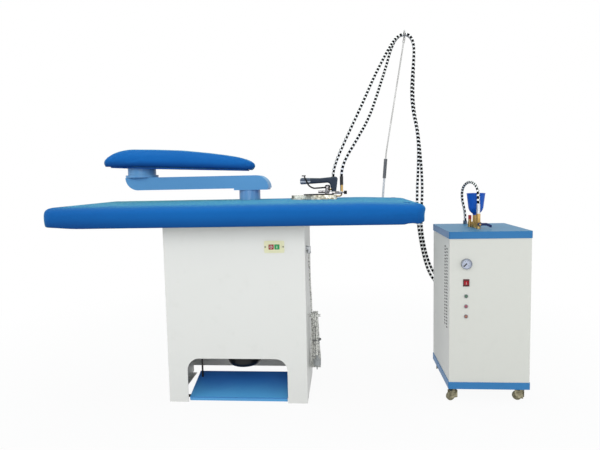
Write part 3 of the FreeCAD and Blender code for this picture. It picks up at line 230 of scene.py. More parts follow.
ground = bpy.data.meshes.new("stage_floor")
ground.from_pydata([(i * FLOOR_HALF, j * FLOOR_HALF, 0) for i, j in ((-1, -1), (1, -1), (1, 1), (-1, 1))],
                   [], [(0, 1, 2, 3)])
ground.materials.append(white_ground())
floor = bpy.data.objects.new("stage_floor", ground)
bpy.context.scene.collection.objects.link(floor)
print("floor %.0f m wide" % (2 * FLOOR_HALF))

# %% [markdown]
# ### Air and lamps
# Seen straight on, in a mirror or through glass, the air is plain white, but it lights the table more gently
# than that. Four large lamps do the rest: most of the light comes from the front, a little green in the one
# above gives the cloth's top its teal cast, and two weak ones keep the sides from going dull.

# %% World and lamps
world = bpy.data.worlds.new("studio")
studio = Finish("studio", world)
shown = studio.put("LightPath", out="Is Camera Ray")
mirrored = studio.put("LightPath", out="Is Glossy Ray") + studio.put("LightPath", out="Is Transmission Ray")
plain = studio.put("Math", {"operation": "ADD", "use_clamp": True}, {0: shown, 1: mirrored})
air = studio.put("Background", None, {"Color": (0.93, 0.96, 1.0), "Strength": 0.64})
white = studio.put("Background", None, {"Color": (1, 1, 1), "Strength": 1.0})
either = studio.put("MixShader", None, {0: plain, 1: air, 2: white})
studio.put("OutputWorld", None, {"Surface": either})
bpy.context.scene.world = world
bpy.context.scene.view_settings.view_transform = "Standard"

LAMPS = [("lamp_front", (0.1, -4.4, 2.4), (0.1, 0.0, 0.5), 3.4, 96, (1, 1, 1)),
         ("lamp_above", (-0.2, 0.6, 4.4), (0, 0, 0.8), 3.4, 78, (0.82, 1.0, 0.93)),
         ("lamp_left", (-3.6, -1.8, 2.0), (-0.2, 0, 0.7), 2.4, 29, (1, 1, 1)),
         ("lamp_right", (3.6, -1.4, 1.6), (0.1, 0, 0.5), 2.4, 22, (1, 1, 1))]
for name, spot, aim, side, watts, colour in LAMPS:
    lamp = bpy.data.lights.new(name, "AREA")
    lamp.size = side
    lamp.energy = watts
    lamp.color = colour
    holder = bpy.data.objects.new(name, lamp)
    holder.location = spot
    holder.rotation_euler = (Vector(aim) - Vector(spot)).to_track_quat("-Z", "Y").to_euler()
    bpy.context.scene.collection.objects.link(holder)
print("lamps:", len(LAMPS))

# %% [markdown]
# ## Surfaces from grids
# Each new piece is a grid of points worked out with numpy: rows one way, columns the other, and every four
# neighbours make a face. A UV map can carry real metres along the piece, so a braid or a weave follows it.

# %% From a grid of points to a piece


def piece(name, points, faces, material, body="stand", uv=None, smooth=40):
    """A mesh object at the origin that rides on a body; edges sharper than `smooth` degrees stay crisp."""
    mesh = bpy.data.meshes.new(name)
    mesh.from_pydata(np.asarray(points, float).tolist(), [], [list(map(int, face)) for face in faces])
    if uv is not None:
        layer = mesh.uv_layers.new(name="UVMap")
        layer.data.foreach_set("uv", np.asarray(uv, np.float32).ravel())
    mesh.materials.append(material)
    mesh.shade_smooth()
    mesh.set_sharp_from_angle(angle=math.radians(smooth))
    made = bpy.data.objects.new(name, mesh)
    bpy.context.scene.collection.objects.link(made)
    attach(made, body)
    return made


def grid_faces(rows, columns, around=False):
    """Four neighbours in a grid of points make a face; `around` joins the last column to the first."""
    i = np.arange(rows - 1)[:, None]
    j = np.arange(columns if around else columns - 1)[None, :]
    k = (j + 1) % columns
    corners = [i * columns + j, i * columns + k, (i + 1) * columns + k, (i + 1) * columns + j]
    return np.stack(np.broadcast_arrays(*corners), -1).reshape(-1, 4)


def grid_uv(u, v):
    """The u of each column edge and the v of each row, for every corner of every face in grid order."""
    i = np.arange(len(v) - 1)[:, None]
    j = np.arange(len(u) - 1)[None, :]
    across = [u[j + 0 * i], u[j + 1 + 0 * i], u[j + 1 + 0 * i], u[j + 0 * i]]
    along = [v[i + 0 * j], v[i + 0 * j], v[i + 1 + 0 * j], v[i + 1 + 0 * j]]
    return np.stack([np.stack(across, -1), np.stack(along, -1)], -1).reshape(-1, 2)


def merged(made, smooth=40):
    """Close seams and poles, and turn every face outwards."""
    work = bmesh.new()
    work.from_mesh(made.data)
    bmesh.ops.remove_doubles(work, verts=work.verts, dist=2e-6)
    bmesh.ops.dissolve_degenerate(work, edges=work.edges, dist=1e-7)
    bmesh.ops.recalc_face_normals(work, faces=work.faces)
    work.to_mesh(made.data)
    work.free()
    made.data.shade_smooth()
    made.data.set_sharp_from_angle(angle=math.radians(smooth))
    return made


print("faces of a 3 by 4 grid:", len(grid_faces(3, 4)), "open,", len(grid_faces(3, 4, True)), "joined round")

# %% [markdown]
# ## The hoses
# Two hoses leave the iron, pass over the ring on the pole and hang down behind the boiler. Each is rubber in
# a cotton braid of black and white checks. The line is a NURBS curve drawn towards the same route points as
# the solid's. The tube is a circle carried along it, with metres in its UV map so that the checks keep their
# size.

# %% A line along route points, and a tube round it


def spline_line(route, steps=14):
    """The points of a smooth NURBS line that has the route as its control points."""
    data = bpy.data.curves.new("route", "CURVE")
    data.dimensions = "3D"
    data.resolution_u = steps
    spline = data.splines.new("NURBS")
    spline.points.add(len(route) - 1)
    spline.points.foreach_set("co", np.column_stack([route, np.ones(len(route))]).ravel())
    spline.order_u = 3
    spline.use_endpoint_u = True
    holder = bpy.data.objects.new("route", data)
    bpy.context.scene.collection.objects.link(holder)
    bpy.context.view_layer.update()
    mesh = bpy.data.meshes.new_from_object(holder)
    line = np.zeros(len(mesh.vertices) * 3)
    mesh.vertices.foreach_get("co", line)
    bpy.data.objects.remove(holder)
    bpy.data.curves.remove(data)
    bpy.data.meshes.remove(mesh)
    return line.reshape(-1, 3)


def tube(name, line, radius, across, material, sides=20, body="stand"):
    """A circle carried along a line. `across` is a direction that the line never runs along; it sets
    the frame at each point: first across the line, then square to both."""
    heading = np.gradient(line, axis=0)
    heading /= np.linalg.norm(heading, axis=1)[:, None]
    side = np.cross(heading, across)
    side /= np.linalg.norm(side, axis=1)[:, None]
    third = np.cross(heading, side)
    angle = np.linspace(0, 2 * np.pi, sides, endpoint=False)
    ring = np.cos(angle)[:, None] * side[:, None] + np.sin(angle)[:, None] * third[:, None]
    points = line[:, None] + radius * ring
    metres = np.concatenate([[0], np.cumsum(np.linalg.norm(np.diff(line, axis=0), axis=1))])
    rows = len(line)
    faces = [list(face) for face in grid_faces(rows, sides, True)]
    uv = grid_uv(np.linspace(0, 1, sides + 1), metres)
    caps = [list(range(sides))[::-1], list(range((rows - 1) * sides, rows * sides))]
    uv = np.concatenate([uv, np.zeros((2 * sides, 2))])
    made = piece(name, points.reshape(-1, 3), faces + caps, material, body, uv, smooth=60)
    return made, metres[-1]


print("points on a line with three control points:", len(spline_line(np.eye(3))))

# %% [markdown]
# ### The braid
# Each hose has four lanes of checks round it, two broad and two narrow, which turn slowly as it twists. In
# the broad lanes the black checks are longer than the white ones. The yarns are drawn as fine slanting waves
# in the same UV map, so that they follow every bend.

# %% Black and white checks
HOSE, BREATHER = 0.0135, 0.012
CHECK_LENGTH, LANES_ROUND, YARNS_ROUND = 0.0097, 4, 24
BROAD_HALF, BLACK_LENGTH = 0.78, 1.26


def checked_braid(name, turn, low, high, phase, circumference):
    """Black and white checks in u and v, turned by some lanes between two places along the hose, over
    the ribs of slanting yarns."""
    finish = Finish(name)
    where, u, v = finish.cloth_place()
    lane = u * LANES_ROUND + turn * finish.eased(v, low, high) + phase
    broad = abs((lane + 0.5) % 2.0 - 1) < BROAD_HALF
    parity = (broad + ((v / CHECK_LENGTH) % 2.0 < BLACK_LENGTH)) % 2.0
    rising = ((u + v / circumference) * (2 * math.pi * YARNS_ROUND)).sine()
    falling = ((u - v / circumference) * (2 * math.pi * YARNS_ROUND)).sine()
    yarn = abs(rising) * parity + abs(falling) * (1 - parity)
    soil = finish.noise(where, 90, 3, (0.4, 1, 1))
    dark = finish.mixed(yarn, (0.003, 0.003, 0.0035), (0.008, 0.008, 0.009))
    pale = finish.mixed(yarn * (0.6 + 0.4 * soil), (0.86, 0.86, 0.84), (0.98, 0.98, 0.96))
    return finish.paint(base_color=finish.mixed(parity, dark, pale), roughness=0.85 + 0.1 * soil,
                        specular_ior_level=0.06, normal=finish.relief(yarn, 0.0004, 0.4))


braids = {name: checked_braid(name + "_braid", turn, low, high, phase, math.pi * thick)
          for name, turn, low, high, phase, thick in (("steam_hose", 0.45, 0.05, 0.55, -0.95, HOSE),
                                                      ("return_hose", 0.15, 0.05, 0.55, -0.65, HOSE),
                                                      ("breather", 2.0, 0.0, 0.42, 0.0, BREATHER))}
print("braids:", list(braids))

# %% [markdown]
# ### The routes
# Each route is three short tables of millimetres: from the iron's fitting, over the ring, and down to the
# outlet behind the boiler. The points are the ones that the solids have, chosen along the picture.

# %% Steam hose and return hose
STEAM_EXIT, RETURN_EXIT = np.array([0.194, 0.108, 0.954]), np.array([0.234, 0.090, 0.954])
RING, OUTLET = np.array([0.558, 0.338, 1.660]), np.array([0.668, 0.185, 0.262])
LEFT_STEAM = [(0, 0, 0), (0, 0, 28), (28, 11, 104), (77, 36, 208), (147, 84, 352), (204, 134, 480)]
LEFT_RETURN = [(0, 0, 0), (0, 0, 30), (21, 4, 86), (72, 31, 168), (138, 91, 281), (186, 147, 416)]
OVER_STEAM = [(-111, -61, -132), (-73, -35, -63), (-39, -8, -15), (-3, -8, 1), (30, -8, -11), (47, -9, -58),
              (45, -11, -120), (37, -14, -200), (31, -18, -300), (38, -24, -385), (56, -31, -470),
              (64, -40, -560), (60, -51, -690), (53, -60, -800)]
OVER_RETURN = [(-95, -40, -165), (-69, -8, -75), (-39, 8, -15), (-3, 8, 1), (31, 8, -11), (49, 7, -58),
               (48, 5, -120), (45, 2, -200), (42, -2, -300), (47, -8, -385), (62, -16, -470),
               (72, -24, -560), (81, -33, -690), (83, -43, -800)]
DOWN_STEAM = [(-55, 85, 453), (-30, 85, 298), (-1, 76, 198), (36, 50, 146), (52, 16, 104), (52, 0, 72),
              (52, 0, 38)]
DOWN_RETURN = [(-38, 103, 453), (-14, 103, 298), (22, 93, 198), (66, 60, 146), (87, 18, 104), (87, 0, 72),
               (87, 0, 38)]


def from_points(*tables):
    """Route points from tables of (start in metres, offsets in millimetres)."""
    return np.concatenate([start + np.array(steps) / 1000 for start, steps in tables])


for name, start, left, over, down in (
        ("steam_hose", STEAM_EXIT, LEFT_STEAM, OVER_STEAM, DOWN_STEAM),
        ("return_hose", RETURN_EXIT, LEFT_RETURN, OVER_RETURN, DOWN_RETURN)):
    line = spline_line(from_points((start, left), (RING, over), (OUTLET, down)), 36)
    made, metres = tube("braided_" + name, line, HOSE / 2, (0, 1, 0), braids[name])
    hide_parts(name)
    print(made.name, "%.3f m" % metres)

# %% [markdown]
# ### The breather
# A short hose of the same braid, a little thinner, arches over the boiler's lid from a socket at the back to
# the nipple on the tap.

# %% Breather hose
BREATHER_EXIT, TAP_MOUTH = np.array([0.814, 0.128, 0.734]), np.array([0.815, -0.103, 0.823])
ARCH = [(0, 0, 0), (0, 0, 38), (-16, -1, 100), (-22, -30, 150), (-16, -85, 180), (-3, -145, 184)]
line = spline_line(from_points((BREATHER_EXIT, ARCH), (TAP_MOUTH, [(1, 20, 70), (0, 0, 34), (0, 0, 0)])), 24)
breather, metres = tube("braided_breather", line, BREATHER / 2, (1, 0, 0), braids["breather"])
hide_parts("breather_hose")
print("breather %.3f m" % metres)

# %% [markdown]
# ## The mains cable
# A grey cable leaves the gland on the side of the cabinet, drops to a peg and is wound there into a waisted
# hank with its plug hanging beside it. The whole cable is one line. Each fold of the hank is half of an
# octagon drawn round the fold's circle, which is the control polygon of a round bend.

# %% One line from the gland through the hank to the plug
GLAND_MOUTH, SIDE_X, HANK_Y = np.array([0.089, -0.154, 0.626]), 0.079, -0.080
CREST, MIDDLE, TROUGH, CABLE = 0.3245, 0.2220, 0.1195, 0.007
HANK_PITCH, HANK_HALF, HANK_WAIST, LOOPS = 0.00775, 0.024, 0.011, 7
EASE = (CREST - MIDDLE) / 4
CREST_OFF, WAIST_OFF, TROUGH_OFF = 0.014, 0.01075, 0.0075
CREST_NEST, WAIST_NEST = 0.0066, 0.0065


def crest_place(turn):
    """The x and half width of a turn over the peg, where every second turn nests inside its neighbours."""
    return SIDE_X + CREST_OFF + turn * HANK_PITCH / 2, HANK_HALF - CREST_NEST * (turn % 2)


def waist_place(turn):
    """The same at the waist, where the turns lie three quarters of a pitch apart."""
    return SIDE_X + WAIST_OFF + turn * 0.75 * HANK_PITCH, HANK_WAIST - WAIST_NEST * (turn % 2)


def trough_place(turn):
    """The same at the bottom, where the turns lie side by side."""
    return SIDE_X + TROUGH_OFF + turn * HANK_PITCH, HANK_HALF


def run_points(side, high, waist, low):
    """Down one waisted side of the hank: each S bend has its corners a quarter of its height from its
    ends."""
    x, half = np.array([high, waist, waist, low]).T
    heights = [CREST - EASE, MIDDLE + EASE, MIDDLE - EASE, TROUGH + EASE]
    return np.column_stack([x, HANK_Y + side * half, heights])


def fold_points(place, height, turns):
    """Four corners, at the given degrees, of the octagon drawn round a fold's half circle."""
    angle, reach = np.radians(turns), place[1] / math.cos(math.radians(22.5))
    y, z = HANK_Y + reach * np.cos(angle), height + reach * np.sin(angle)
    return np.column_stack([np.full(4, place[0]), y, z])


lead_end = np.array([crest_place(0)[0], HANK_Y - HANK_HALF, CREST + CABLE])
cable_route = [from_points((GLAND_MOUTH, [(0, 0, 0), (0, 0, -38), (1, 6, -100)]),
                           (lead_end, [(-1, -10, 102), (0, 0, 36)]))]
for turn in range(LOOPS - 1):
    behind = (waist_place(turn + 1)[0] - HANK_PITCH / 2, waist_place(turn + 1)[1])
    cable_route += [run_points(-1, crest_place(turn), waist_place(turn), trough_place(turn)),
                    fold_points(trough_place(turn), TROUGH, (202.5, 247.5, 292.5, 337.5)),
                    run_points(1, crest_place(turn + 1), behind, trough_place(turn))[::-1],
                    fold_points(crest_place(turn + 1), CREST, (22.5, 67.5, 112.5, 157.5))]
last_x, last_half = crest_place(LOOPS - 1)
PLUG_TOP = np.array([SIDE_X + 0.036, HANK_Y - 0.055, 0.168])
cable_route.append([(last_x, HANK_Y - last_half, CREST - 0.034)])
cable_route.append(from_points((PLUG_TOP, [(0, 0, 56), (0, 0, 11), (0, 0, 0)])))
cable_line = spline_line(np.concatenate(cable_route), 10)
print("cable route:", sum(map(len, cable_route)), "points, line:", len(cable_line))

# %% [markdown]
# ### The cable's jacket
# The jacket is pale grey, soiled along its length, with fine dark flecks of painted shade that stand in for
# the dark gaps between the hank's turns. Soil follows the UV map along the cable, and flecks are small
# enough to be plain noise in space.

# %% Grey cable with flecks


def flecked_jacket():
    finish = Finish("grey_cable")
    where = finish.cloth_place()[0]
    soil = finish.noise(where, 40, 3, (0.2, 1, 1))
    # painted shade: dark flecks stand in for the gaps between the hank's turns
    fleck = finish.eased(finish.noise(finish.place()[0], 230, 1), 0.53, 0.58)
    colour = finish.mixed(soil, (0.66, 0.66, 0.62), (0.82, 0.82, 0.77))
    colour = finish.mixed(0.85 * fleck, colour, (0.04, 0.04, 0.04))
    grain = finish.noise(where, 900, 2)
    return finish.paint(base_color=colour, roughness=0.42 + 0.2 * soil,
                        normal=finish.relief(grain, 0.00008, 0.5))


cable, metres = tube("mains_cable", cable_line, CABLE / 2, (1, 0, 0), flecked_jacket(), 12)
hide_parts("mains_lead", "mains_hank")
print("mains cable %.3f m" % metres)

# %% [markdown]
# ## Colours and plain finishes
# Paint, plastic and metal are never one flat colour: paint is a little cloudy and dulled where it is
# handled, moulded plastic has a fine grain, and metal shows the way it was rolled or polished. Three small
# recipes cover most of the pieces. Colours are written as in a paint chart and turned into light values.

# %% Recipes for enamel, plastic and metal


def tint(chart):
    """A chart colour such as 1a64b4 as linear light."""
    share = np.array([int(chart[i:i + 2], 16) for i in (0, 2, 4)]) / 255
    return tuple(np.where(share <= 0.04045, share / 12.92, ((share + 0.055) / 1.055) ** 2.4).tolist())


def orange_peel(finish, where):
    """The fine dimples that sprayed paint dries with."""
    return finish.relief(finish.noise(where, 380, 1), 0.00006, 0.35)


def enamel(name, colour, worn, rough=0.3, coat=0.35, gloss=0.5):
    """Sprayed paint: slow cloudiness, patches dulled by hands and rags, and orange peel in the gloss."""
    finish = Finish(name)
    where = finish.place()[0]
    cloud = finish.noise(where, 2.6, 3)
    marks = finish.eased(finish.noise(where, 17, 6), 0.56, 0.78)
    return finish.paint(base_color=finish.mixed(0.45 * cloud + 0.4 * marks, tint(colour), tint(worn)),
                        roughness=rough + 0.05 * cloud + 0.16 * marks, coat_weight=coat, coat_roughness=0.1,
                        specular_ior_level=gloss, normal=orange_peel(finish, where))


def plastic(name, colour, worn, rough=0.38, grain=900, gloss=0.5):
    """Moulded plastic: a fine spark grain, and a paler bloom in patches."""
    finish = Finish(name)
    where = finish.place()[0]
    bloom = finish.noise(where, 60, 4)
    spark = finish.noise(where, grain, 1)
    return finish.paint(base_color=finish.mixed(bloom, tint(colour), tint(worn)),
                        roughness=rough + 0.16 * bloom, specular_ior_level=gloss,
                        normal=finish.relief(spark, 0.00007, 0.4))


def metal(name, colour, shade, rough, stretch=(1, 1, 1), grain=420, patch=11):
    """Bare metal: streaks drawn out along one axis, and a slow change of tone."""
    finish = Finish(name)
    where = finish.place()[0]
    streak = finish.noise(where, grain, 3, stretch)
    cloud = finish.eased(finish.noise(where, patch, 3), 0.3, 0.7)
    return finish.paint(base_color=finish.mixed(cloud, tint(colour), tint(shade)), metallic=1.0,
                        roughness=rough + 0.14 * streak, normal=finish.relief(streak, 0.00004, 0.3))


print("blue cloth as light:", [round(value, 3) for value in tint("1a64b4")])

# %% [markdown]
# ## The cloth of the board and the sleeve board
# Both covers are one blue cotton drill. Up close it is a twill: slanting ribs about a millimetre apart. From
# a step away it is a soft sheen, a little paler on top, with slack creases where it is pulled round an edge.
# Painted shade darkens it towards the hem, at the board's left end and low on the cushion's flanks. Masks in
# metres pick that out.

# %% Blue drill
TWILL = 2 * math.pi / 0.0018
POST_X, POST_Y, SLEEVE_LOW, SLEEVE_DROOP = -0.762, 0.170, 1.0199, math.radians(2.4)
ABOVE_BOARD, HEM_LOW, HEM_UNSHADED, LEFT_END, LEFT_UNSHADED = 0.9, 0.762, 0.812, -1.0, -0.35


def above_plate(x, z):
    """Height above the sleeve board's own sloping plate, for arrays and for tones."""
    return (z - SLEEVE_LOW) * math.cos(SLEEVE_DROOP) + (x - POST_X) * math.sin(SLEEVE_DROOP)


def blue_drill():
    finish = Finish("blue_drill")
    where, x, y, z = finish.place()
    rib = ((x + y + 0.8 * z) * TWILL).sine()
    thread = ((x - y - 0.8 * z) * (2.2 * TWILL)).sine()
    slack = finish.noise(where, 7, 4, (1, 1, 2.2))
    wash = finish.noise(where, 2.2, 3)
    lint = finish.noise(where, 160, 3)
    board = z < ABOVE_BOARD
    # painted shade: darker towards the hem, at the board's left end and low on the cushion's flanks
    unshaded_side, unshaded_end = finish.eased(z, HEM_LOW, HEM_UNSHADED), finish.eased(x, LEFT_END, LEFT_UNSHADED)
    unshaded_flank = finish.eased(above_plate(x, z), -0.004, 0.036)
    painted_cloth_shade = board * (0.75 - 0.55 * unshaded_side - 0.2 * unshaded_end)
    painted_cloth_shade = painted_cloth_shade + (1 - board) * (0.85 - 0.85 * unshaded_flank)
    colour = finish.mixed(0.45 * wash + 0.25 * lint + 0.12 * rib + 0.12, tint("06529b"), tint("1066ae"))
    colour = finish.mixed(painted_cloth_shade, colour, tint("033069"))
    height = slack * 3.0 + rib * 0.07 + thread * 0.04
    return finish.paint(base_color=colour, roughness=0.66 + 0.2 * lint, specular_ior_level=0.12,
                        sheen_weight=0.46, sheen_roughness=0.24, sheen_tint=(0.3, 1.0, 0.76, 1),
                        normal=finish.relief(height, 0.0016, 0.55))


drill = blue_drill()
print("cloth nodes:", len(drill.node_tree.nodes))

# %% [markdown]
# ## The board's cover and felt
# The cover is a flat sheet pulled over a felt pad and round the edge of the tray, with its hem turned under.
# It could be draped by simulation, but a stretched cover is a plain wrap: rings run out from the hole for
# the arm's foot to the rounded outline, over the edge, down the side and under. One grid carries all of it.

# %% Rings of the board outline
BOARD_MID, BOARD_HALF, BOARD_CORNER = np.array([-0.219, -0.019]), np.array([0.781, 0.340]), 0.060
ARM_FOOT = np.array([-0.219, 0.170])


def walk_round(along, across, turn):
    """Round the board from the front left: signs on the core rectangle, and the way out of the board."""
    signs, ways = [], []
    for quarter, count in enumerate((along, across, along, across)):
        heading = quarter * np.pi / 2 - np.pi / 2
        out = np.array([math.cos(heading), math.sin(heading)])
        ahead = np.array([-out[1], out[0]])
        signs += [out + np.linspace(-1, 1, count)[:, None] * ahead, np.tile(out + ahead, (turn, 1))]
        bend = heading + np.linspace(0, np.pi / 2, turn + 2)[1:-1]
        ways += [np.tile(out, (count, 1)), np.column_stack([np.cos(bend), np.sin(bend)])]
    return np.concatenate(signs), np.concatenate(ways)


def board_ring(signs, ways, inset):
    """The outline moved in by an inset: a core rectangle plus a corner radius that shrinks to nothing."""
    core = BOARD_HALF - BOARD_CORNER - max(inset - BOARD_CORNER, 0)
    return BOARD_MID + signs * core + ways * max(BOARD_CORNER - inset, 0.0)


def hole_rings(ring, radius, shares):
    """Rings between a circle about the arm's foot and a ring of the board, by straight shares."""
    away = ring - ARM_FOOT
    circle = ARM_FOOT + radius * away / np.linalg.norm(away, axis=1)[:, None]
    return circle + np.asarray(shares)[:, None, None] * (ring - circle)


def smooth_profile(points, count, rounds=3):
    """Points spread evenly along a run of straight pieces, then rounded by averaging with neighbours."""
    points = np.asarray(points, float)
    reach = np.concatenate([[0], np.cumsum(np.linalg.norm(np.diff(points, axis=0), axis=1))])
    even = np.linspace(0, reach[-1], count)
    line = np.column_stack([np.interp(even, reach, column) for column in points.T])
    for _ in range(rounds):
        line[1:-1] = (line[:-2] + 2 * line[1:-1] + line[2:]) / 4
    return line


def ramp(value, low, high):
    """0 below low, 1 above high, a smooth step between."""
    share = np.clip((value - low) / (high - low), 0, 1)
    return share * share * (3 - 2 * share)


def sagged(plan, heights, foot, share):
    """The soft right end: whatever stands above a foot height loses a share of its rise, more and more
    over the last quarter metre."""
    rise = np.maximum(heights - foot, 0)
    return heights - rise * share * ramp(plan[..., 0], 0.30, 0.56)


signs, ways = walk_round(104, 46, 18)
print("points round the board:", len(signs))

# %% [markdown]
# ### Over the edge and under
# One run of insets and heights describes the edge: the top rolls over, the side comes down and the hem turns
# under. The front rolls over in a wider crown than the ends do, and at the right end the side is drawn in
# against the tray, so there are three such runs, and the cover fades from one to the other.

# %% Edge profiles and the plain wrap
ROUND = [(0.085, 0.8498), (0.052, 0.8494), (0.034, 0.8481), (0.020, 0.8452), (0.010, 0.8402),
         (0.0040, 0.8330), (0.0010, 0.8240)]
CROWN = [(0.085, 0.8498), (0.066, 0.8490), (0.046, 0.8468), (0.028, 0.8430), (0.0155, 0.8380),
         (0.0070, 0.8315), (0.0020, 0.8240)]
LOOSE = [(0.0004, 0.8150), (0.0003, 0.8040), (0.0010, 0.7920), (0.0022, 0.7810), (0.0038, 0.7710)]
TIGHT = [(0.0010, 0.8180), (0.0030, 0.8100), (0.0050, 0.8010), (0.0056, 0.7900), (0.0054, 0.7710)]
HEM = [(0.0072, 0.7674), (0.014, 0.7678), (0.030, 0.7680), (0.042, 0.7680)]
HOLE_RADIUS, LIP_RADIUS, LIP_LOW, EDGE_ROWS = 0.0536, 0.0531, 0.8478, 64
EDGE_INSET, COVER_TOP = ROUND[0]

profile, crowned, tight = (smooth_profile(top + side + HEM, EDGE_ROWS) for top, side in (
    (ROUND, LOOSE), (CROWN, LOOSE), (ROUND, TIGHT)))


def plain_wrap():
    """Rings by straight shares from the hole's lip to the edge, then one ring for each point of the
    profile: the places in plan, and the heights."""
    inner = board_ring(signs, ways, EDGE_INSET)
    lip = hole_rings(inner, LIP_RADIUS, [0.0])
    flat = hole_rings(inner, HOLE_RADIUS, np.linspace(0, 1, 26)[:-1])
    edge = np.stack([board_ring(signs, ways, inset) for inset, _ in profile])
    heights = np.concatenate([[LIP_LOW], np.full(len(flat), COVER_TOP), profile[:, 1]])
    return np.concatenate([lip, flat, edge]), np.repeat(heights[:, None], len(signs), axis=1)


print("cover wraps %.0f mm of edge" % (1000 * np.linalg.norm(np.diff(profile, axis=0), axis=1).sum()))

# %% [markdown]
# ### Pulling the cover tight
# Cloth is never quite even at a hem. It puckers in small waves and gathers at the corners, more and more
# from the top edge down. Along the front the hem hangs a few millimetres lower, except for a short rise near
# the right end, where the side is also tucked in.

# %% Cover
TUCK, HEM_DROP, COVER_SAG_FOOT, COVER_SAG = 0.0032, 0.0066, 0.813, 0.19


def cover_points():
    """The plain wrap plus moves along the way out of the board: sine waves and gathers that grow towards the
    hem, the change of profile at the front and the right end, the tuck, and the drop of the hem."""
    plan, heights = plain_wrap()
    outer = board_ring(signs, ways, 0.0)
    along = outer[:, 0]
    metres = np.concatenate([[0], np.cumsum(np.linalg.norm(np.diff(outer, axis=0), axis=1))])
    grip = ramp(-heights, -0.838, -0.772)
    corner = np.abs(ways[:, 0] * ways[:, 1]) * 2
    wave = 0.0005 * np.sin(metres * 47 + 2.2 * np.sin(metres * 6.1)) + 0.0003 * np.sin(metres * 111 + 1)
    gather = 0.0010 * corner * (1 + np.sin(np.arctan2(ways[:, 1], ways[:, 0]) * 26))
    right_end, front = ramp(ways[:, 0], 0.15, 0.85), ramp(-ways[:, 1], 0.5, 1.0)
    inset, lift = (crowned - profile).T[..., None] * front + (tight - profile).T[..., None] * right_end
    drawn = np.zeros_like(heights)
    drawn[-EDGE_ROWS:] = inset
    heights[-EDGE_ROWS:] += lift
    side_only = ramp(-heights, -0.808, -0.792) * ramp(heights, 0.768, 0.782)
    tuck = TUCK * ramp(along, 0.33, 0.50) * front * side_only
    plan = plan + ((wave + gather) * grip - drawn)[..., None] * ways
    plan = plan - tuck[..., None] * ways
    rise = 0.75 * (ramp(along, 0.470, 0.496) - ramp(along, 0.510, 0.540))
    drop = ramp(along, -0.97, -0.84) * (1 - rise)
    heights = heights - HEM_DROP * ramp(-heights, -0.800, -0.770) * front * drop
    return np.dstack([plan, sagged(plan, heights, COVER_SAG_FOOT, COVER_SAG)])


points = cover_points()
rows, columns = points.shape[:2]
cover = piece("drill_cover", points.reshape(-1, 3), grid_faces(rows, columns, True)[:, ::-1], drill,
              smooth=75)
wall = cover.modifiers.new("cloth", "SOLIDIFY")
wall.thickness, wall.offset = 0.0014, -1
wrap = float(np.linalg.norm(np.diff(profile, axis=0), axis=1).sum())
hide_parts("board_cover")

# %% [markdown]
# ### Felt under the cover
# A pressed felt pad lies on the slotted plate. It closes on itself: up from the hole, out across the top,
# round the edge and back below, so the grid joins its last row to its first.

# %% Felt pad
pad_signs, pad_ways = walk_round(52, 24, 8)
FELT_LOW, FELT_HOLE, FELT_INNER, FELT_SAG = 0.8264, 0.0775, 0.075, 0.33
FELT_EDGE = [(0.036, 0.8424), (0.024, 0.8392), (0.0165, 0.8358), (0.0125, 0.8330), (0.0105, 0.8300),
             (0.0108, 0.8268), (0.0135, FELT_LOW)]


def wool_felt():
    finish = Finish("wool_felt")
    where = finish.place()[0]
    fibre = finish.noise(where, 1300, 4, (1, 0.3, 1))
    fleck = finish.noise(where, 240, 3)
    colour = finish.mixed(0.6 * fibre + 0.4 * fleck, tint("b9b2a2"), tint("ded8ca"))
    return finish.paint(base_color=colour, roughness=0.95, sheen_weight=0.3,
                        normal=finish.relief(fibre, 0.0004, 0.6))


def felt_points():
    """Rings of the pad's section: the hole's wall, a top with its edge rounded, and a flat underside."""
    edge = np.concatenate([[(0.060, 0.8458), (0.048, 0.8444)], smooth_profile(FELT_EDGE, 16, 2)])
    inner = board_ring(pad_signs, pad_ways, FELT_INNER)
    plan = np.concatenate([hole_rings(inner, FELT_HOLE, [0, 0, 0.01, 0.1, 0.3, 0.6, 1.0]),
                           np.stack([board_ring(pad_signs, pad_ways, inset) for inset, _ in edge]),
                           hole_rings(inner, FELT_HOLE, [1.0, 0.5, 0.1])])
    top = [0.8266, 0.8440, 0.8470, 0.8472, 0.8472, 0.8470, 0.8466]
    heights = np.concatenate([top, edge[:, 1], np.full(3, FELT_LOW)])
    heights = np.repeat(heights[:, None], len(pad_signs), axis=1)
    return np.dstack([plan, sagged(plan, heights, FELT_LOW, FELT_SAG)])


points = felt_points()
rows, columns = points.shape[:2]
loop = np.concatenate([points, points[:1]]).reshape(-1, 3)
felt = merged(piece("felt_pad", loop, grid_faces(rows + 1, columns, True), wool_felt(), smooth=60), 60)
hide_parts("board_pad")
print("felt faces:", len(felt.data.polygons))

# %% [markdown]
# ## The sleeve board's cushion
# The small board on the arm is padded all round like a bolster: a crowned top, full flanks and a lower edge
# that is drawn in under the board. It starts as a lofted form a little thinner than the real one. Cloth with
# some pressure inside then swells it, held along the underside where it is tacked to its plate, so that the
# edge puckers as tacked cloth does.

# %% The form before it is filled
BUTT, NOSE = 0.170, 0.573
LENGTHS = [0, 0.008, 0.03, 0.065, 0.11, 0.17, 0.33, 0.52, 0.69, 0.80, 0.88, 0.94, 0.98, 1]
HALVES = [0.050, 0.074, 0.093, 0.103, 0.109, 0.111, 0.111, 0.103, 0.090, 0.079, 0.069, 0.055, 0.037, 0.016]
TOPS = [0.028, 0.037, 0.0505, 0.0635, 0.0775, 0.084, 0.0855, 0.0835, 0.074, 0.0655, 0.0575, 0.0475, 0.037,
        0.027]
FLOORS = [0.016, 0.008, 0.002, 0, 0, 0, 0, 0, 0, 0, 0, 0, 0.004, 0.012]
EDGE_HANG, PLATE_GAP = 0.012, 0.0004


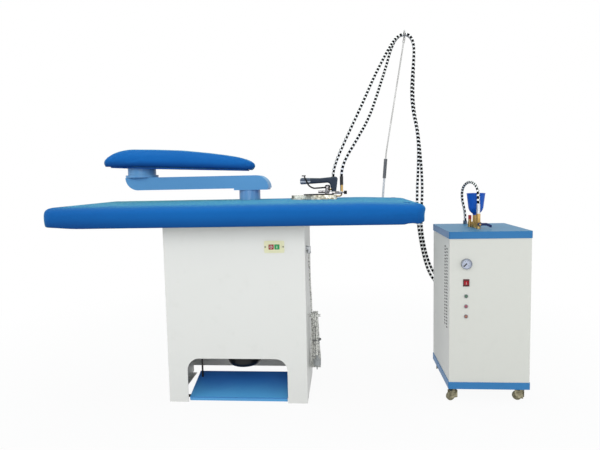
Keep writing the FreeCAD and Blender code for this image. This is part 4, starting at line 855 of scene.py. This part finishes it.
def bolster_section(count):
    """One closed section in shares of half width and height: flat below, drawn in, full, and crowned."""
    right = np.array([(0, 0), (0.5, 0), (0.80, 0.0), (0.90, 0.03), (0.97, 0.14), (1.0, 0.32), (0.985, 0.5),
                      (0.92, 0.68), (0.78, 0.85), (0.55, 0.945), (0.28, 0.988), (0, 1)])
    left = right[-2::-1] * (-1, 1)
    return smooth_profile(np.concatenate([right, left]), count + 1, 2)[:-1]


def bolster_points(rows, columns):
    """Sections set along the board, closer together at both ends. The lower edge hangs over the plate's rim,
    most at the butt, and past the plate's end the whole underside hangs."""
    share = 0.5 - 0.5 * np.cos(np.linspace(0, np.pi, rows))
    half, top, floor_rise = (np.interp(share, LENGTHS, values) for values in (HALVES, TOPS, FLOORS))
    section = bolster_section(columns)
    across = half[:, None] * section[:, 0]
    up = floor_rise[:, None] + (top - floor_rise)[:, None] * section[:, 1]
    hang = ramp(share, 0.0, 0.03) * (0.50 + 0.50 * ramp(-share, -0.30, -0.15)) * ramp(-share, -1.0, -0.972)
    flank = ramp(np.abs(section[:, 0]), 0.85, 0.93)
    past_plate = ramp(share, 0.962, 0.971)[:, None]
    edge = np.maximum(flank, past_plate) * ramp(-section[:, 1], -0.30, 0.0)
    up = up - EDGE_HANG * hang[:, None] * edge
    along = np.repeat((share * (BUTT + NOSE) - BUTT)[:, None], columns, axis=1)
    x = along * math.cos(SLEEVE_DROOP) + up * math.sin(SLEEVE_DROOP)
    z = up * math.cos(SLEEVE_DROOP) - along * math.sin(SLEEVE_DROOP)
    return np.dstack([POST_X + x, POST_Y + across, SLEEVE_LOW + PLATE_GAP + z])


rows, columns = 84, 88
points = bolster_points(rows, columns)
first, last = (np.tile(row.mean(0), (columns, 1)) for row in (points[0], points[-1]))
closed = np.concatenate([first, points.reshape(-1, 3), last])
cushion = merged(piece("sleeve_cushion", closed, grid_faces(rows + 2, columns, True), drill, "sleeve_board",
                       smooth=80), 80)
print("cushion form:", len(cushion.data.vertices), "points")

# %% [markdown]
# ### Filling it
# The mesh is remade in even 5 mm cells, the underside is held, and twenty frames of cloth with pressure
# swell the rest. No point may move more than a few millimetres, so the cushion keeps its place and its size.

# %% Cloth with pressure inside
VOXEL, SWELL, TACKED_BELOW, PRESSURE, FRAMES = 0.005, 0.004, 0.0035, 4.0, 20


def mesh_points(mesh):
    """All points of a mesh as rows of x, y and z."""
    flat = np.zeros(len(mesh.vertices) * 3)
    mesh.vertices.foreach_get("co", flat)
    return flat.reshape(-1, 3)


def filled(made):
    """Remesh, run the cloth and keep its moves up to a cap; returns the largest move before the cap."""
    remade = made.modifiers.new("cells", "REMESH")
    remade.mode, remade.voxel_size = "VOXEL", VOXEL
    graph = bpy.context.evaluated_depsgraph_get()
    mesh = bpy.data.meshes.new_from_object(made.evaluated_get(graph))
    made.modifiers.clear()
    made.data = mesh
    before = mesh_points(mesh)
    held = made.vertex_groups.new(name="tacked")
    below = np.flatnonzero(above_plate(before[:, 0], before[:, 2]) < TACKED_BELOW)
    held.add(below.tolist(), 1.0, "REPLACE")
    cloth = made.modifiers.new("filling", "CLOTH")
    cloth.settings.use_pressure = True
    cloth.settings.uniform_pressure_force = PRESSURE
    cloth.settings.effector_weights.gravity = 0.0
    cloth.settings.vertex_group_mass = "tacked"
    for step in range(1, FRAMES + 1):
        bpy.context.scene.frame_set(step)
    after = mesh_points(made.evaluated_get(bpy.context.evaluated_depsgraph_get()).data)
    move = after - before
    size = np.maximum(np.linalg.norm(move, axis=1), 1e-9)[:, None]
    made.modifiers.clear()
    bpy.context.scene.frame_set(1)
    mesh.vertices.foreach_set("co", (before + move * np.minimum(size, SWELL) / size).ravel())
    mesh.update()
    mesh.materials.clear()
    mesh.materials.append(drill)
    mesh.shade_smooth()
    return float(size.max())


print("cushion swelled by up to %.1f mm before the cap" % (1000 * filled(cushion)))
fine = cushion.modifiers.new("fine", "SUBSURF")
fine.levels = fine.render_levels = 1
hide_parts("sleeve_pad")
print("cushion points:", len(cushion.data.vertices))

# %% [markdown]
# ## Painted sheet and castings
# The cabinet and the boiler are powder-coated off white, the boiler's lid and base are mid blue, and the
# swing arm is a paler blue, with a glossier foot. The enamel recipe does those that are one colour all over.

# %% Dress the painted nodes
dress(enamel("cabinet_white", "dcdcd8", "d5d5d0", 0.42, 0.0),
      "cabinet_front_panel", "cabinet_side_panels", "cabinet_back_panel")
dress(enamel("boiler_white", "d2d2cb", "ccccc5", 0.3, 0.15, 0.25), "boiler_front_panel")
dress(enamel("arm_blue", "619cc8", "5791bd", 0.34, 0.0, 0.07), "swing_arm")
dress(enamel("pedestal_blue", "5a94c2", "5089b6", 0.24, 0.0, 0.6), "arm_pedestal")
dress(enamel("band_blue", "3e7cb2", "3a72a5", 0.26, 0.0, 0.07), "boiler_base_tray")
dress(enamel("lever_blue", "14285a", "0f1e44", 0.34, 0.1, 0.2), "valve_lever")
dress(enamel("motor_black", "060607", "0d0d0f", 0.36, 0.1, 0.3), "fan_motor")
dress(enamel("needle_black", "0c0c0d", "161617", 0.4, 0.1), "gauge_needle")
print("painted nodes dressed")

# %% [markdown]
# ### Paints that change across a piece
# The pedal is painted paler towards its front edge as painted light, and its turned-down lip is one even,
# darker blue of painted shade. The boiler's lid is painted darker on top as painted shade, and is rougher
# there. Both are split by plain distances in metres.

# %% Pedal with painted light and lid with painted shade
PEDAL_BACK, PEDAL_FRONT, PEDAL_LIP, LID_TOP = 0.13, 0.27, 0.2512, 0.7172


def pedal_with_painted_light():
    finish = Finish("pedal_blue")
    where, _, y, _ = finish.place()
    cloud = finish.noise(where, 9, 4)
    # painted light: the pedal is painted paler towards its front edge
    painted_light = finish.eased(0 - y + 0.05 * cloud, PEDAL_BACK, PEDAL_FRONT)
    colour = finish.mixed(painted_light, tint("2c6fc2"), tint("52a2da"))
    # painted shade: the turned-down lip is one darker blue
    colour = finish.mixed((0 - y) > PEDAL_LIP, colour, tint("3176bc"))
    return finish.paint(base_color=colour, roughness=0.36 + 0.1 * painted_light, coat_weight=0.15,
                        normal=orange_peel(finish, where))


def lid_with_painted_shade():
    finish = Finish("band_blue_lid")
    where, _, _, z = finish.place()
    cloud = finish.noise(where, 5, 4)
    # painted shade: the lid's top face is painted darker and greyer than its sides
    top = z > LID_TOP
    colour = finish.mixed(top, finish.mixed(cloud, tint("3c7ab0"), tint("3870a2")),
                          finish.mixed(cloud, tint("3c779f"), tint("467796")))
    return finish.paint(base_color=colour, roughness=0.28 + 0.08 * cloud + 0.1 * top, specular_ior_level=0.1,
                        normal=orange_peel(finish, where))


dress(pedal_with_painted_light(), "pedal_plate")
dress(lid_with_painted_shade(), "boiler_top_cover")
print("pedal and lid dressed")

# %% [markdown]
# ### Masks that follow a piece's own shape
# The boiler's sides carry painted shade: near black inside, in the cut walls of their slots and in a margin
# round each slot. The slots repeat at a fixed pitch, so one remainder of the height marks all the rows of a
# column. The plate on top of the sleeve board's stand is wrapped in the cushion's cloth, so only the post
# below it shows paint. The plate slopes, so its mask is a height measured square to the slope.

# %% Punched sides and wrapped plate
BOILER_MID, INNER_HALF, INNER_BACK = 0.834, 0.1629, 0.1455
VENT_PITCH, VENT_ROWS, VENT_REACH, VENT_RISE = 0.0134, 26, 0.0098, 0.0032
VENT_COLUMNS = [(-0.170, 0.3060), (-0.131, 0.3127)]
PLATE_UNDER = -0.0062


def punched_side():
    finish = Finish("boiler_white_punched")
    where, x, y, z = finish.place()
    cloud = finish.noise(where, 2.6, 3)
    # painted shade: near black on the panels' inside faces, the slot walls and a margin round each slot
    painted_vent_shade = x.near(BOILER_MID, INNER_HALF) * (y < INNER_BACK)
    for column, foot in VENT_COLUMNS:
        row = ((z - foot + VENT_PITCH / 2) % VENT_PITCH).near(VENT_PITCH / 2, VENT_RISE)
        column_span = z.near(foot + (VENT_ROWS - 1) / 2 * VENT_PITCH, VENT_ROWS / 2 * VENT_PITCH)
        painted_vent_shade = painted_vent_shade + y.near(column, VENT_REACH) * row * column_span
    colour = finish.mixed(painted_vent_shade, finish.mixed(cloud, tint("dededa"), tint("d8d8d4")), tint("0c0c0b"))
    return finish.paint(base_color=colour, roughness=0.32 + 0.05 * cloud + 0.5 * painted_vent_shade,
                        specular_ior_level=0.07, normal=orange_peel(finish, where))


def wrapped_stand():
    finish = Finish("stand_blue")
    where, x, _, z = finish.place()
    cloud = finish.noise(where, 2.6, 3)
    weave = finish.noise(where, 900, 2)
    cloth = above_plate(x, z) > PLATE_UNDER
    colour = finish.mixed(cloth, finish.mixed(cloud, tint("609bc8"), tint("5690bd")), tint("0a5098"))
    return finish.paint(base_color=colour, roughness=0.32 + 0.05 * cloud + 0.4 * cloth,
                        specular_ior_level=0.3, normal=finish.relief(weave, 0.00008, 0.4))


dress(wrapped_stand(), "sleeve_stand")
dress(punched_side(), "boiler_side_panels")
print("vent rows on each side:", VENT_ROWS * len(VENT_COLUMNS))

# %% [markdown]
# ## Bare and plated metal
# Zinc-coated sheet shows large frozen crystals, called spangle, each a slightly different grey. A Voronoi
# texture gives the crystals. Rods and castings use the metal recipe, with streaks along the way they were
# drawn, and the iron's plating and sole are patchy from heat and scale.

# %% Zinc spangle, chrome, alloy and steel
WIRE_PITCH, POLE_LEAN = 0.0032, 0.22


def spangled_zinc():
    finish = Finish("spangled_zinc")
    where = finish.place()[0]
    crystal = finish.put("TexVoronoi", None, {"Vector": where, "Scale": 85.0})
    frost = finish.noise(where, 320, 4)
    colour = finish.mixed(crystal * 0.8 + frost * 0.3, tint("a4a8ab"), tint("c6c9cb"))
    return finish.paint(base_color=colour, metallic=1.0, roughness=0.34 + 0.16 * crystal + 0.08 * frost,
                        normal=finish.relief(frost, 0.00004, 0.4))


def coiled_spring():
    """Close turns of wire along the leaning pole: a sine along z, with painted shade in the grooves."""
    finish = Finish("coiled_spring")
    _, x, _, z = finish.place()
    # painted shade: the grooves between the turns are painted dark
    turn = abs(((z + POLE_LEAN * x) * (math.pi / WIRE_PITCH)).sine())
    colour = finish.mixed(turn, tint("222325"), tint("74777a"))
    return finish.paint(base_color=colour, metallic=0.6, roughness=0.36 + 0.3 * (1 - turn),
                        normal=finish.relief(turn, 0.0008, 0.8))


dress(spangled_zinc(), "board_tray", "board_suction_plate", "fan_housing", "suction_duct", "suction_damper",
      "pole_socket")
dress(metal("dark_steel", "4c4846", "353230", 0.42, (1, 1, 0.1)), "pedal_shaft", "pedal_link")
dress(coiled_spring(), "pole_spring_sleeve")
dress(metal("pole_steel", "b2b2b1", "9a9a98", 0.34, (1, 1, 0.06)), "pole_rod", "hose_ring")
dress(metal("chrome", "b9b6b8", "3c393b", 0.12, patch=120), "iron_steam_valve")
dress(metal("satin_chrome", "c9ccce", "aeb2b6", 0.24), "mains_gland")
dress(metal("sole_alloy", "eee8d4", "7d7662", 0.14, (0.05, 1, 1), patch=48), "iron_soleplate")
dress(metal("cast_alloy", "b4b6b8", "8f9194", 0.42, grain=900), "fan_impeller")
dress(metal("vessel_steel", "4c4e50", "3a3c3e", 0.4, (1, 1, 0.1)), "pressure_vessel")
FORKS, WHEELS = ([kind + end + side for end in ("front_", "rear_") for side in ("left", "right")]
                 for kind in ("caster_fork_", "caster_wheel_"))
dress(metal("fork_zinc", "a8a288", "5a5644", 0.4, patch=70), *FORKS)
print("metal nodes dressed")

# %% [markdown]
# ## Brass at the valves and fittings
# Brass tarnishes in soft patches. On the iron the hose ends sit in black sleeves, and on the boiler one
# valve has a red cap, the tap a plated nipple and the hose a grey socket. These are parts of one node, so
# masks in metres pick them out.

# %% Brass with sleeves, cap and nipple
SLEEVE_FOOT, NIPPLE_FOOT, SOCKET_FRONT = 0.9140, 0.7822, 0.1
CAP_X, CAP_Y, CAP_RADIUS, CAP_FOOT = 0.801, -0.015, 0.0082, 0.752


def brass_with(name, masks):
    """Tarnished brass, and other finishes laid over it: (mask, colour, metal share) from a function."""
    finish = Finish(name)
    where, x, y, z = finish.place()
    tarnish = finish.noise(where, 48, 4)
    colour = finish.mixed(tarnish, tint("d8b878"), tint("8a6830"))
    shine, rough = 1.0, 0.2 + 0.22 * tarnish
    for mask, over, share in masks(x, y, z):
        colour = finish.mixed(mask, colour, tint(over))
        shine = (1 - mask) * shine + mask * share
        rough = rough + mask * (0.12 if share else 0.25)
    lathe = finish.noise(where, 700, 2)
    return finish.paint(base_color=colour, metallic=shine, roughness=rough,
                        normal=finish.relief(lathe, 0.00005, 0.35))


def on_iron(x, y, z):
    """Black sleeves above the fittings."""
    return [(z > SLEEVE_FOOT, "121214", 0.0)]


def on_boiler(x, y, z):
    """A red cap inside a circle, a plated nipple by height, and a grey socket at the back."""
    dx, dy = x - CAP_X, y - CAP_Y
    cap = (dx * dx + dy * dy < CAP_RADIUS ** 2) * (z > CAP_FOOT)
    return [(cap, "b01d1a", 0.0), (z > NIPPLE_FOOT, "c4c8cc", 1.0), (y > SOCKET_FRONT, "46586a", 0.0)]


dress(brass_with("sleeved_brass", on_iron), "hose_fittings")
dress(brass_with("valve_brass", on_boiler), "boiler_valves")
print("brass nodes dressed")

# %% [markdown]
# ## Moulded parts
# The gauge and the row of lamps are one node each, so their dial and lenses are again masks, this time round
# ones. The iron's handle has a paler cap at its front end with one stripe of painted highlight, picked out
# by length and height.

# %% Dial, lenses and handle
PANEL_X, DIAL_Z, DIAL_RADIUS = 0.738, 0.586, 0.0193
LENSES = [(0.451, "0b5234"), (0.4085, "861a3a"), (0.366, "843a1c")]
LENS_RADIUS, ROCKER_FRAME_LOW = 0.0064, 0.480
HANDLE_CAP, HANDLE_HIGHLIGHT, HIGHLIGHT_HALF = 0.088, 0.9325, 0.0026


def gauge_face():
    """White dial inside a polished bezel, split by distance from the gauge's axis."""
    finish = Finish("gauge_face")
    where, x, _, z = finish.place()
    dx, dz = x - PANEL_X, z - DIAL_Z
    dial = dx * dx + dz * dz < DIAL_RADIUS ** 2
    print_grain = finish.noise(where, 800, 2)
    colour = finish.mixed(dial, tint("8f959d"), tint("b9c0d2"))
    return finish.paint(base_color=colour, metallic=1 - dial, coat_weight=0.4 * dial,
                        roughness=0.14 + 0.3 * dial + 0.06 * print_grain,
                        normal=finish.relief(print_grain, 0.00003, 0.3))


def lamp_row():
    """A dark red rocker frame above, then three lenses in plated rings, picked out by height and radius."""
    finish = Finish("lamp_row")
    where, x, _, z = finish.place()
    facet = finish.noise(where, 500, 2)
    frame_part, clear = z > ROCKER_FRAME_LOW, 0.0
    colour = finish.mixed(frame_part, tint("8f9498"), tint("4a0a12"))
    for height, glass in LENSES:
        dx, dz = x - PANEL_X, z - height
        round_lens = dx * dx + dz * dz < LENS_RADIUS ** 2
        colour, clear = finish.mixed(round_lens, colour, tint(glass)), round_lens + clear
    plated = (1 - frame_part) * (1 - clear)
    return finish.paint(base_color=colour, metallic=plated, roughness=0.3 - 0.18 * clear + 0.08 * facet,
                        coat_weight=clear, normal=finish.relief(facet, 0.00005, 0.4))


def capped_handle():
    """Slate-blue handle whose front cap is a paler grey with one stripe of painted highlight, split along x
    and z.
    """
    finish = Finish("slate_plastic")
    where, x, _, z = finish.place()
    bloom = finish.noise(where, 60, 4)
    spark = finish.noise(where, 900, 1)
    body = finish.mixed(bloom, tint("212c3a"), tint("2b3747"))
    # painted highlight: one pale stripe across the cap
    cap, highlight_stripe = x < HANDLE_CAP, z.near(HANDLE_HIGHLIGHT, HIGHLIGHT_HALF)
    colour = finish.mixed(cap, body, finish.mixed(highlight_stripe, tint("535d6a"), tint("c4c9cd")))
    return finish.paint(base_color=colour, roughness=0.36 + 0.16 * bloom, specular_ior_level=0.2,
                        normal=finish.relief(spark, 0.00007, 0.4))


dress(gauge_face(), "pressure_gauge")
dress(lamp_row(), "panel_fittings")
dress(capped_handle(), "iron_handle")
print("lenses:", len(LENSES))

# %% [markdown]
# ### Plain mouldings
# The iron's lever and knob are black, the switch is cream, the funnel deep blue and the wheels a dusty
# beige. The plastic recipe does all of them. The last line looks for a node that was forgotten.

# %% Dress the moulded nodes
dress(plastic("black_plastic", "0b0b0c", "17171a", 0.44, gloss=0.15),
      "iron_heat_shield", "iron_steam_lever", "iron_valve_knob")
dress(plastic("switch_cream", "d6d6b0", "dedcbc", 0.4), "start_stop_switch")
dress(plastic("start_green", "1c8a48", "2c9456", 0.34, gloss=0.3), "start_button")
dress(plastic("stop_red", "861019", "92181f", 0.34, gloss=0.2), "stop_button")
dress(plastic("rocker_red", "960c1c", "a21824", 0.34, gloss=0.25), "power_rocker")
dress(plastic("funnel_blue", "0449a4", "0a58ba", 0.34, 500, 0.2), "filler_funnel")
dress(plastic("plug_grey", "8c8f90", "9ea1a1", 0.42), "mains_plug")
dress(plastic("wheel_beige", "5f5b48", "938d74", 0.55, gloss=0.2), *WHEELS)
bare = [name for name, made in nodes.items() if not made.data.materials or made.data.materials[0].users == 0]
print("moulded nodes dressed, bare:", bare)

# %% [markdown]
# ## Marks, scales and fasteners
# Small things tell the size of the large ones: the scale of the gauge, the marks on the buttons and the
# rocker, and the screws. Marks stand a little off their faces, because a mark in the face would flicker.

# %% Shapes for marks and screws


def joined(name, shapes, material, body="stand", smooth=40):
    """Several (points, faces) shapes as one piece."""
    points = np.concatenate([shape_points for shape_points, _ in shapes])
    starts = np.cumsum([0] + [len(shape_points) for shape_points, _ in shapes[:-1]])
    faces = [[int(corner) + start for corner in face]
             for start, (_, shape_faces) in zip(starts, shapes) for face in shape_faces]
    return piece(name, points, faces, material, body, smooth=smooth)


def raised(outline_xz, front, height):
    """A flat outline in x and z raised towards -Y: a wall, a small bevel, and a face."""
    outline_xz = np.asarray(outline_xz, float)
    count, middle = len(outline_xz), outline_xz.mean(0)
    inner = middle + (outline_xz - middle) * 0.94
    levels = [(outline_xz, front), (outline_xz, front - 0.7 * height), (inner, front - height)]
    points = np.concatenate([np.column_stack([shape[:, 0], np.full(count, y), shape[:, 1]])
                             for shape, y in levels])
    faces = [list(face[::-1]) for face in grid_faces(3, count, True)]
    return points, faces + [list(range(2 * count, 3 * count))]


def bar(x, z, width, height):
    """The corners of an upright bar, anticlockwise as seen from the front."""
    return np.array([(x - width / 2, z - height / 2), (x + width / 2, z - height / 2),
                     (x + width / 2, z + height / 2), (x - width / 2, z + height / 2)])


def hoop(x, z, radius, width, front, height, sides=28):
    """A ring raised towards -Y: outer wall, face and inner wall."""
    angle = np.linspace(0, 2 * np.pi, sides, endpoint=False)
    outer, inner = radius + width / 2, radius - width / 2
    levels = [(outer, front), (outer, front - height), (inner, front - height), (inner, front)]
    points = [np.column_stack([x + reach * np.cos(angle), np.full(sides, y), z + reach * np.sin(angle)])
              for reach, y in levels]
    return np.concatenate(points), [list(face[::-1]) for face in grid_faces(4, sides, True)]


def screw_heads(name, places, axis, radius, material):
    """Domed heads: a lathe profile repeated at every place."""
    turn = np.linspace(0, 2 * np.pi, 14, endpoint=False)
    dome = radius * np.array([(1, 0), (1, 0.28), (0.82, 0.46), (0.45, 0.56), (0.40, 0.40), (0.0001, 0.40)])
    out = np.asarray(axis, float)
    side = np.cross(out, (0, 0, 1)) if abs(out[2]) < 0.5 else np.array([1.0, 0, 0])
    third = np.cross(out, side)
    ring = np.cos(turn)[:, None] * side + np.sin(turn)[:, None] * third
    head = (dome[:, 0, None, None] * ring + dome[:, 1, None, None] * out).reshape(-1, 3)
    faces = grid_faces(len(dome), len(turn), True)
    return merged(joined(name, [(head + place, faces) for place in np.asarray(places, float)], material), 50)


print("points of a ring mark:", len(hoop(0, 0, 1, 0.1, 0, 0.1)[0]))

# %% [markdown]
# ### The marks themselves
# A ring stands for off and a bar for on. On the rocker they are tilted with its two faces.

# %% Button and rocker marks
pale_print = plastic("pale_print", "e9ebe6", "dcdfd8", 0.4)
BUTTON_FACE, BUTTON_Z, STOP_X, START_X, INK_RISE = -0.270, 0.669, -0.05925, -0.03475, 0.0003
ROCKER_FACE, ROCKER_PIN, ROCKER_Z, FACE_LEAN, ROCKER_TILT = -0.2256, -0.219, 0.507, 12.7, 9.0
stop_ring = hoop(STOP_X, BUTTON_Z, 0.0048, 0.0018, BUTTON_FACE, INK_RISE)
start_bar = raised(bar(START_X, BUTTON_Z, 0.0022, 0.0105), BUTTON_FACE, INK_RISE)
stop_mark = joined("stop_mark", [stop_ring], pale_print, "stop_key")
start_mark = joined("start_mark", [start_bar], pale_print, "start_key")


def on_rocker(shape, lean):
    """Lean a shape about the rocker's middle line, then turn it with the rocker about its pin."""
    points, faces = shape
    for pivot, degrees in ((ROCKER_FACE, lean), (ROCKER_PIN, ROCKER_TILT)):
        turn = math.radians(degrees)
        y, z = points[:, 1] - pivot, points[:, 2] - ROCKER_Z
        points = np.column_stack([points[:, 0], pivot + y * math.cos(turn) - z * math.sin(turn),
                                  ROCKER_Z + y * math.sin(turn) + z * math.cos(turn)])
    return points, faces


on_bar = raised(bar(PANEL_X, 0.5103, 0.0011, 0.0036), ROCKER_FACE, INK_RISE)
off_ring = hoop(PANEL_X, 0.5037, 0.0015, 0.0007, ROCKER_FACE, INK_RISE, 20)
rocker_marks = joined("rocker_marks", [on_rocker(on_bar, FACE_LEAN), on_rocker(off_ring, -FACE_LEAN)],
                      pale_print, "rocker")
print("marks:", stop_mark.name, start_mark.name, rocker_marks.name)

# %% [markdown]
# ### The gauge's scale
# The needle sweeps 270 degrees clockwise from the lower left. Long and short ticks follow that arc, and
# plain numbers stand inside every second long one.

# %% Ticks and numbers
DIAL_FACE, SWEEP_START, SWEEP, TICK_OUT = -0.2270, 225, 270, 0.0178
ink = plastic("dial_ink", "15181c", "20242a", 0.5)


def tick_shapes(count, inner, half):
    """Radial strokes spread over the sweep, each raised a little from the dial."""
    shapes = []
    for angle in np.radians(SWEEP_START - np.linspace(0, SWEEP, count)):
        way = np.array([math.cos(angle), math.sin(angle)])
        aside = half * np.array([-math.sin(angle), math.cos(angle)])
        corners = np.array([inner * way + aside, inner * way - aside, TICK_OUT * way - aside,
                            TICK_OUT * way + aside])
        shapes.append(raised(corners + (PANEL_X, DIAL_Z), DIAL_FACE, 0.00015))
    return shapes


def number_shape(text, angle, reach):
    """The outline of a number as a mesh, stood up in the x and z plane of the dial."""
    letters = bpy.data.curves.new("number", "FONT")
    letters.body, letters.size, letters.align_x, letters.align_y = text, 0.0046, "CENTER", "CENTER"
    holder = bpy.data.objects.new("number", letters)
    mesh = bpy.data.meshes.new_from_object(holder)
    flat = mesh_points(mesh)
    faces = [list(face.vertices) for face in mesh.polygons]
    bpy.data.objects.remove(holder)
    bpy.data.curves.remove(letters)
    bpy.data.meshes.remove(mesh)
    middle = reach * np.array([math.cos(math.radians(angle)), math.sin(math.radians(angle))])
    return np.column_stack([PANEL_X + middle[0] + flat[:, 0], np.full(len(flat), DIAL_FACE - 0.0002),
                            DIAL_Z + middle[1] + flat[:, 1]]), faces


scale_shapes = tick_shapes(11, 0.0140, 0.00035) + tick_shapes(51, 0.0162, 0.00016)
scale_shapes += [number_shape(str(2 * step), SWEEP_START - SWEEP / 5 * step, 0.0108) for step in range(6)]
dial_scale = joined("dial_scale", scale_shapes, ink)
print("dial faces:", len(dial_scale.data.polygons))

# %% [markdown]
# ### Screws and the cable tie
# Two screws hold the switch plate's box, and rows of them hold the back panels, where the sheet can be taken
# off for service. A strap round the waist of the hank keeps its turns together.

# %% Screw heads and strap
FRONT, BACK = (0, -1, 0), (0, 1, 0)
zinc_head = metal("zinc_head", "b4b7b9", "8d9093", 0.28)
dark_head = metal("dark_head", "6e6d66", "55544e", 0.3)
SCREWS = [("switch_screws", (-0.0845, -0.0095), -0.263, (BUTTON_Z,), FRONT, 0.0032, dark_head),
          ("cabinet_back_screws", (-0.503, 0.065), 0.1, (0.06, 0.40, 0.745), BACK, 0.005, zinc_head),
          ("boiler_back_screws", (0.682, 0.986), 0.146, (0.11, 0.39, 0.665), BACK, 0.0045, zinc_head)]
for name, columns_x, face_y, rows_z, axis, radius, finish in SCREWS:
    places = [(x, face_y, z) for x in columns_x for z in rows_z]
    screw_heads(name, places, axis, radius, finish)


def strap_points(columns=40):
    """An oval band about the hank's waist: outer and inner ovals at two heights, joined round."""
    angle = np.linspace(0, 2 * np.pi, columns, endpoint=False)
    levels = [(0, -0.0035), (0.0007, -0.0025), (0.0007, 0.0025), (0, 0.0035)]
    return np.concatenate([np.column_stack([SIDE_X + 0.0290 + (0.0238 + out) * np.cos(angle),
                                            HANK_Y + (0.0156 + out) * np.sin(angle),
                                            np.full(columns, MIDDLE + up)]) for out, up in levels])


strap_grey = plastic("strap_grey", "6a6c6d", "7a7c7c", 0.6)
strap = piece("hank_strap", strap_points(), grid_faces(4, 40, True), strap_grey)
band = strap.modifiers.new("band", "SOLIDIFY")
band.thickness, band.offset = 0.001, -1

# %% [markdown]
